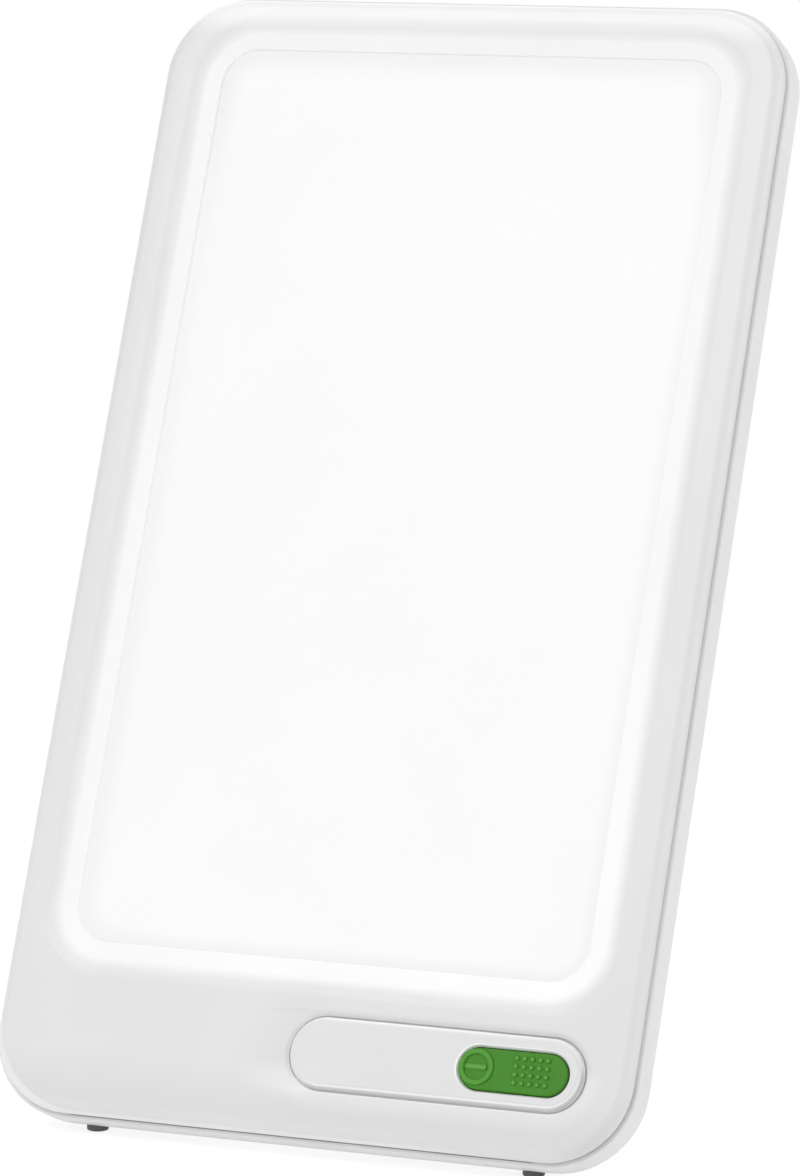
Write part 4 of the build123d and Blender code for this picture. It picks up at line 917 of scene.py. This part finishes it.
def finishKey():
    # the ring, the bar and the block of dots stand proud, with softly rounded shoulders, and are
    # painted a lighter green as a painted highlight
    material, tree, shader = mouldFinish("key_plastic", plastics["green_key"])
    shader.inputs["Specular IOR Level"].default_value = marks["specular"]
    place, parts = panelParts(tree, -2000, 900)
    centre = {"Across": marks["ring"][0], "Up": marks["ring"][1]}
    ring = addReach(
        tree, "capsuleReach", -1800, 1200, place, Straight=0.0, Radius=marks["ringRadius"], **centre
    )
    ring = addMath(tree, -1600, 1200, "ABSOLUTE", ring)
    ring = addMath(tree, -1450, 1200, "SUBTRACT", ring, marks["ringHalf"])
    bar = addReach(
        tree, "capsuleReach", -1800, 900, place,
        Straight=marks["barStraight"], Radius=marks["barRadius"], **centre,
    )
    # one dot, repeated across and up inside the block
    acrossSquare, acrossOut = repeatAlong(
        tree, 1700, parts["X"], marks["dots"][0], marks["columns"]
    )
    upSquare, upOut = repeatAlong(tree, 1900, parts["Y"], marks["dots"][1], marks["rows"])
    dot = addMath(tree, -850, 1750, "ADD", acrossSquare, upSquare)
    dot = addMath(tree, -700, 1750, "SQRT", dot)
    dot = addMath(tree, -550, 1750, "SUBTRACT", dot, marks["dotRadius"])
    outside = addMath(tree, -1000, 2050, "MAXIMUM", acrossOut, upOut)
    dot = addMath(tree, -400, 1800, "MAXIMUM", dot, outside)
    small = addMath(tree, -1150, 1150, "MINIMUM", bar, dot)
    near = addMath(tree, -1150, 1050, "MINIMUM", ring, small)
    ringed = addFade(tree, -1000, 650, ring, *marks["ringFade"])
    raised = addFade(tree, -1000, 850, small, *marks["raisedFade"])
    tone = addBlend(tree, -500, 900, ringed, feeding(shader, "Base Color"), marks["ringHighlight"])
    tone = addBlend(tree, -300, 900, raised, tone, marks["raised"])
    tree.links.new(tone, shader.inputs["Base Color"])
    addRelief(tree, shader, addFade(tree, -1000, 1050, near, *marks["shoulder"]), marks["relief"])
    return material


finishes["frame_plastic"] = finishFrame()
finishes["shell_plastic"] = finishShell()
finishes["plate_plastic"] = finishPlate()
finishes["key_plastic"] = finishKey()
print("plastics done")

# The lit window is opal acrylic, with its glow in its own material.
opal = {
    "tone": (0.32, 0.32, 0.32),
    "drift": (0.31, 0.311, 0.312),
    "smooth": 0.30,
    "matt": 0.38,
    "haze": 900.0,
    "patch": 22.0,
    "depth": 0.000004,
    "strength": 1.0,
    "light": (0.527, 0.527, 0.527),
    "lowLight": (0.597, 0.597, 0.597),
    "edgeLight": (0.458, 0.458, 0.458),
    "edgeShare": 0.4,
    "fade": 0.0055,
    "wideFade": 0.0105,
    "top": (0.05, 0.01),  # below the window's top
    "leftStart": 0.6,  # as a share of the way to its side
    "leftShare": 0.9,
    "wallLight": (0.60, 0.60, 0.60),
    "wall": (0.0018, 0.0015),
}


def finishOpal():
    material, tree, shader, place = startFinish("opal_acrylic")
    panel, parts = panelParts(tree, -1700, 400)
    reach = addReach(tree, "outlineReach", -1400, 400, panel, **window)
    # the glow sinks towards the edge, most along the top, and slowly at the left
    top = addFade(tree, -1300, 800, parts["Y"], *(windowTop - drop for drop in opal["top"]))
    side = window["Half Width"]
    left = addFade(
        tree, -1300, 600, parts["X"], -opal["leftStart"] * side, -side, opal["leftShare"]
    )
    share = addRange(tree, -950, 700, top, 0.0, 1.0, opal["edgeShare"], 1.0)
    wide = addMath(tree, -1250, 900, "MAXIMUM", top, left)
    fade = addRange(tree, -1100, 900, wide, 0.0, 1.0, -opal["fade"], -opal["wideFade"])
    near = addMath(tree, -900, 400, "DIVIDE", reach, fade)
    near = addFade(tree, -750, 400, near, 1.0, 0.0)
    shade = addProduct(tree, -600, 500, near, share)
    low = addRange(tree, -1100, 1100, parts["Y"], windowTop, windowFoot)
    light = addBlend(tree, -600, 500, low, opal["light"], opal["lowLight"])
    light = addBlend(tree, -400, 400, shade, light, opal["edgeLight"])
    wall = addRange(tree, -600, 700, parts["Z"], *opal["wall"])
    light = addBlend(tree, -250, 500, wall, light, opal["wallLight"])
    haze = addEffect(tree, "mouldGrain", -1300, 0, place, Grain=opal["haze"], Patch=opal["patch"])
    tone = addBlend(tree, -700, 100, haze.outputs["Drift"], opal["tone"], opal["drift"])
    rough = addRange(
        tree, -700, -100, haze.outputs["Height"], *grainSpan, opal["smooth"], opal["matt"]
    )
    tree.links.new(light, shader.inputs["Emission Color"])
    tree.links.new(tone, shader.inputs["Base Color"])
    tree.links.new(rough, shader.inputs["Roughness"])
    shader.inputs["Emission Strength"].default_value = opal["strength"]
    addBump(tree, shader, haze.outputs["Height"], opal["depth"])
    return material


finishes["opal_acrylic"] = finishOpal()
print("window lit")

softs = {
    "dark_rubber": {
        "tone": (0.098, 0.098, 0.100), "drift": (0.122, 0.122, 0.124),
        "smooth": 0.62, "matt": 0.86, "grain": 1700.0, "depth": 0.00004, "patch": 210.0,
        "edge": 0.0003,
    },
    "gasket_foam": {
        "tone": (0.16, 0.16, 0.165), "drift": (0.24, 0.24, 0.245),
        "smooth": 0.82, "matt": 0.97, "grain": 1500.0, "depth": 0.00012, "patch": 120.0,
        "edge": 0.0003,
    },
    "grey_silicone": {
        "tone": (0.42, 0.43, 0.44), "drift": (0.50, 0.51, 0.52),
        "smooth": 0.36, "matt": 0.52, "grain": 1400.0, "depth": 0.00002, "patch": 140.0,
        "edge": 0.0003,
    },
}
for soft, look in softs.items():
    finishes[soft] = mouldFinish(soft, look)[0]
print("rubber done")

metals = {
    "steel": {
        "tone": (0.56, 0.57, 0.59), "drift": (0.43, 0.44, 0.46),
        "smooth": 0.24, "matt": 0.42, "stretch": (1, 30, 30), "fine": 160.0, "depth": 0.000006,
    },
    "sheet_aluminium": {
        "tone": (0.74, 0.75, 0.77), "drift": (0.62, 0.63, 0.65),
        "smooth": 0.30, "matt": 0.48, "stretch": (40, 1, 1), "fine": 70.0, "depth": 0.000006,
    },
    "plated_brass": {
        "tone": (0.80, 0.66, 0.34), "drift": (0.70, 0.56, 0.28),
        "smooth": 0.16, "matt": 0.30, "stretch": (30, 1, 30), "fine": 200.0, "depth": 0.000004,
    },
}
metalWear = {"grain": 900.0, "patch": 90.0, "edge": 0.00025, "bright": 1.2}


def drawMetal(name, look):
    material, tree, shader, place = startFinish(name, Metallic=1.0)
    lines = addEffect(
        tree, "drawnLines", -1300, 100, place, Stretch=look["stretch"], Fine=look["fine"]
    )
    stain = addEffect(
        tree, "mouldGrain", -1300, -150, place, Grain=metalWear["grain"], Patch=metalWear["patch"]
    )
    edge = addEffect(tree, "softEdge", -1300, -400, Width=metalWear["edge"])
    dull = addMath(tree, -1000, 0, "MULTIPLY", lines.outputs["Lines"], stain.outputs["Drift"])
    tone = addBlend(tree, -800, 200, dull, look["tone"], look["drift"])
    bright = tuple(min(1.0, part * metalWear["bright"]) for part in look["tone"])
    colour = addBlend(tree, -600, 200, edge.outputs["Edge"], tone, bright)
    rough = addRange(tree, -800, -50, dull, 0.0, 1.0, look["smooth"], look["matt"])
    tree.links.new(colour, shader.inputs["Base Color"])
    tree.links.new(rough, shader.inputs["Roughness"])
    addBump(tree, shader, lines.outputs["Height"], look["depth"], edge.outputs["Normal"])
    return material


for metal, look in metals.items():
    finishes[metal] = drawMetal(metal, look)
print("metals done")

boards = {
    "circuit_board": {
        "mask": (0.012, 0.120, 0.045), "track": (0.030, 0.215, 0.085), "pad": (0.62, 0.60, 0.55),
        "blocks": 70.0, "pads": 330.0,
    },
    "strip_board": {
        "mask": (0.80, 0.80, 0.78), "track": (0.70, 0.70, 0.67), "pad": (0.72, 0.62, 0.36),
        "blocks": 50.0, "pads": 240.0,
    },
}
etching = {
    "rings": 24.0,
    "track": (0.35, 0.55),
    "pad": (0.20, 0.16),
    "padChosen": (0.55, 0.6),
    "grain": 1500.0,
    "patch": 60.0,
    "rough": (0.34, 0.24),  # beside the tracks and on them
    "depth": 0.00003,
}


def addCells(tree, x, y, place, scale, distance="EUCLIDEAN"):
    cells = addNode(tree, "ShaderNodeTexVoronoi", x, y, feature="F1", distance=distance)
    cells.inputs["Scale"].default_value = scale
    tree.links.new(place, cells.inputs["Vector"])
    return cells.outputs["Distance"]


def etchBoard(name, look):
    # copper tracks run two ways under the solder mask, with tinned pads between them
    material, tree, shader, place = startFinish(name)
    panel = addEffect(tree, "panelPlace", -1500, 300).outputs["Place"]
    blocks = addCells(tree, -1300, 300, panel, look["blocks"], "MANHATTAN")
    rings = addMath(tree, -1100, 300, "MULTIPLY", blocks, etching["rings"])
    rings = addMath(tree, -950, 300, "SINE", rings)
    track = addRange(tree, -800, 300, rings, *etching["track"])
    dots = addCells(tree, -1300, 0, panel, look["pads"])
    pad = addRange(tree, -1000, 0, dots, *etching["pad"])
    grain = addEffect(
        tree, "mouldGrain", -1300, -300, place, Grain=etching["grain"], Patch=etching["patch"]
    )
    under = addBlend(tree, -600, 300, track, look["mask"], look["track"])
    chosen = addRange(tree, -800, -150, grain.outputs["Drift"], *etching["padChosen"])
    padShown = addMath(tree, -600, 0, "MULTIPLY", pad, chosen)
    colour = addBlend(tree, -400, 200, padShown, under, look["pad"])
    rough = addRange(tree, -400, 0, track, 0.0, 1.0, *etching["rough"])
    tree.links.new(colour, shader.inputs["Base Color"])
    tree.links.new(rough, shader.inputs["Roughness"])
    addBump(tree, shader, track, etching["depth"])
    return material


for board, look in boards.items():
    finishes[board] = etchBoard(board, look)

chip = {
    "phosphor": (0.86, 0.66, 0.10),
    "rim": (0.88, 0.88, 0.86),
    "rough": 0.22,
    "grain": 3000.0,
    "patch": 900.0,
    "cloud": (0.4, 0.8),
    "depth": 0.00002,
}


def finishChips():
    # yellow phosphor that clouds over to the white of its rim
    material, tree, shader, place = startFinish("chip_phosphor", Roughness=chip["rough"])
    haze = addEffect(
        tree, "mouldGrain", -1300, -100, place, Grain=chip["grain"], Patch=chip["patch"]
    )
    cloudy = addRange(tree, -900, 0, haze.outputs["Height"], *chip["cloud"])
    colour = addBlend(tree, -600, 100, cloudy, chip["phosphor"], chip["rim"])
    tree.links.new(colour, shader.inputs["Base Color"])
    addBump(tree, shader, haze.outputs["Height"], chip["depth"])
    return material


guide = {
    "tone": (0.93, 0.95, 0.97),
    "print": (0.80, 0.80, 0.80),
    "clear": 0.85,
    "bend": 1.49,
    "dots": 620.0,
    "dot": (0.30, 0.24),
    "rough": (0.05, 0.5),  # between the dots and on them
    "depth": 0.00001,
}


def finishGuide():
    # clear acrylic with a print of fine dots that let the light out
    material, tree, shader, place = startFinish("clear_acrylic")
    shader.inputs["Transmission Weight"].default_value = guide["clear"]
    shader.inputs["IOR"].default_value = guide["bend"]
    dots = addCells(tree, -1000, 100, place, guide["dots"])
    printed = addRange(tree, -800, 100, dots, *guide["dot"])
    colour = addBlend(tree, -500, 100, printed, guide["tone"], guide["print"])
    rough = addRange(tree, -500, -100, printed, 0.0, 1.0, *guide["rough"])
    tree.links.new(colour, shader.inputs["Base Color"])
    tree.links.new(rough, shader.inputs["Roughness"])
    addBump(tree, shader, printed, guide["depth"])
    return material


finishes["chip_phosphor"] = finishChips()
finishes["clear_acrylic"] = finishGuide()
print("boards and light guide done")

# Four parts have a finish of their own; the others take their slot's.
ownFinish = {
    "front_frame": "frame_plastic",
    "rear_housing": "shell_plastic",
    "switch_plate": "plate_plastic",
    "power_button": "key_plastic",
}
slotOf = {part["node"]: part["material_slot"] for part in frame["record"]["subparts"]}
for name, node in nodes.items():
    node.data.materials.clear()
    node.data.materials.append(finishes[ownFinish.get(name, slotOf[name])])
print("parts dressed:", len(nodes))

# The soft pad pushes the key back; a smooth-shaded copy of its part stands in for it.
returnPad = {
    "rise": 0.0282,
    "board": -0.0029,
    "height": 0.0051,
    "squeeze": 0.00055,
    "merge": 0.00001,
    "smooth": math.radians(35),
}


def softenPad():
    bpy.ops.object.select_all(action="DESELECT")
    solid = nodes["key_return_pad"]
    solid.select_set(True)
    bpy.context.view_layer.objects.active = solid
    bpy.ops.object.duplicate()
    piece = bpy.context.object
    piece.name = "returnPad"
    bpy.ops.object.mode_set(mode="EDIT")
    bpy.ops.mesh.select_all(action="SELECT")
    bpy.ops.mesh.remove_doubles(threshold=returnPad["merge"])
    bpy.ops.mesh.tris_convert_to_quads()
    bpy.ops.object.mode_set(mode="OBJECT")
    bpy.ops.object.shade_smooth_by_angle(angle=returnPad["smooth"])
    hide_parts("key_return_pad")
    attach(piece, "lamp")
    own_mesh(piece)


softenPad()
print("return pad softened")
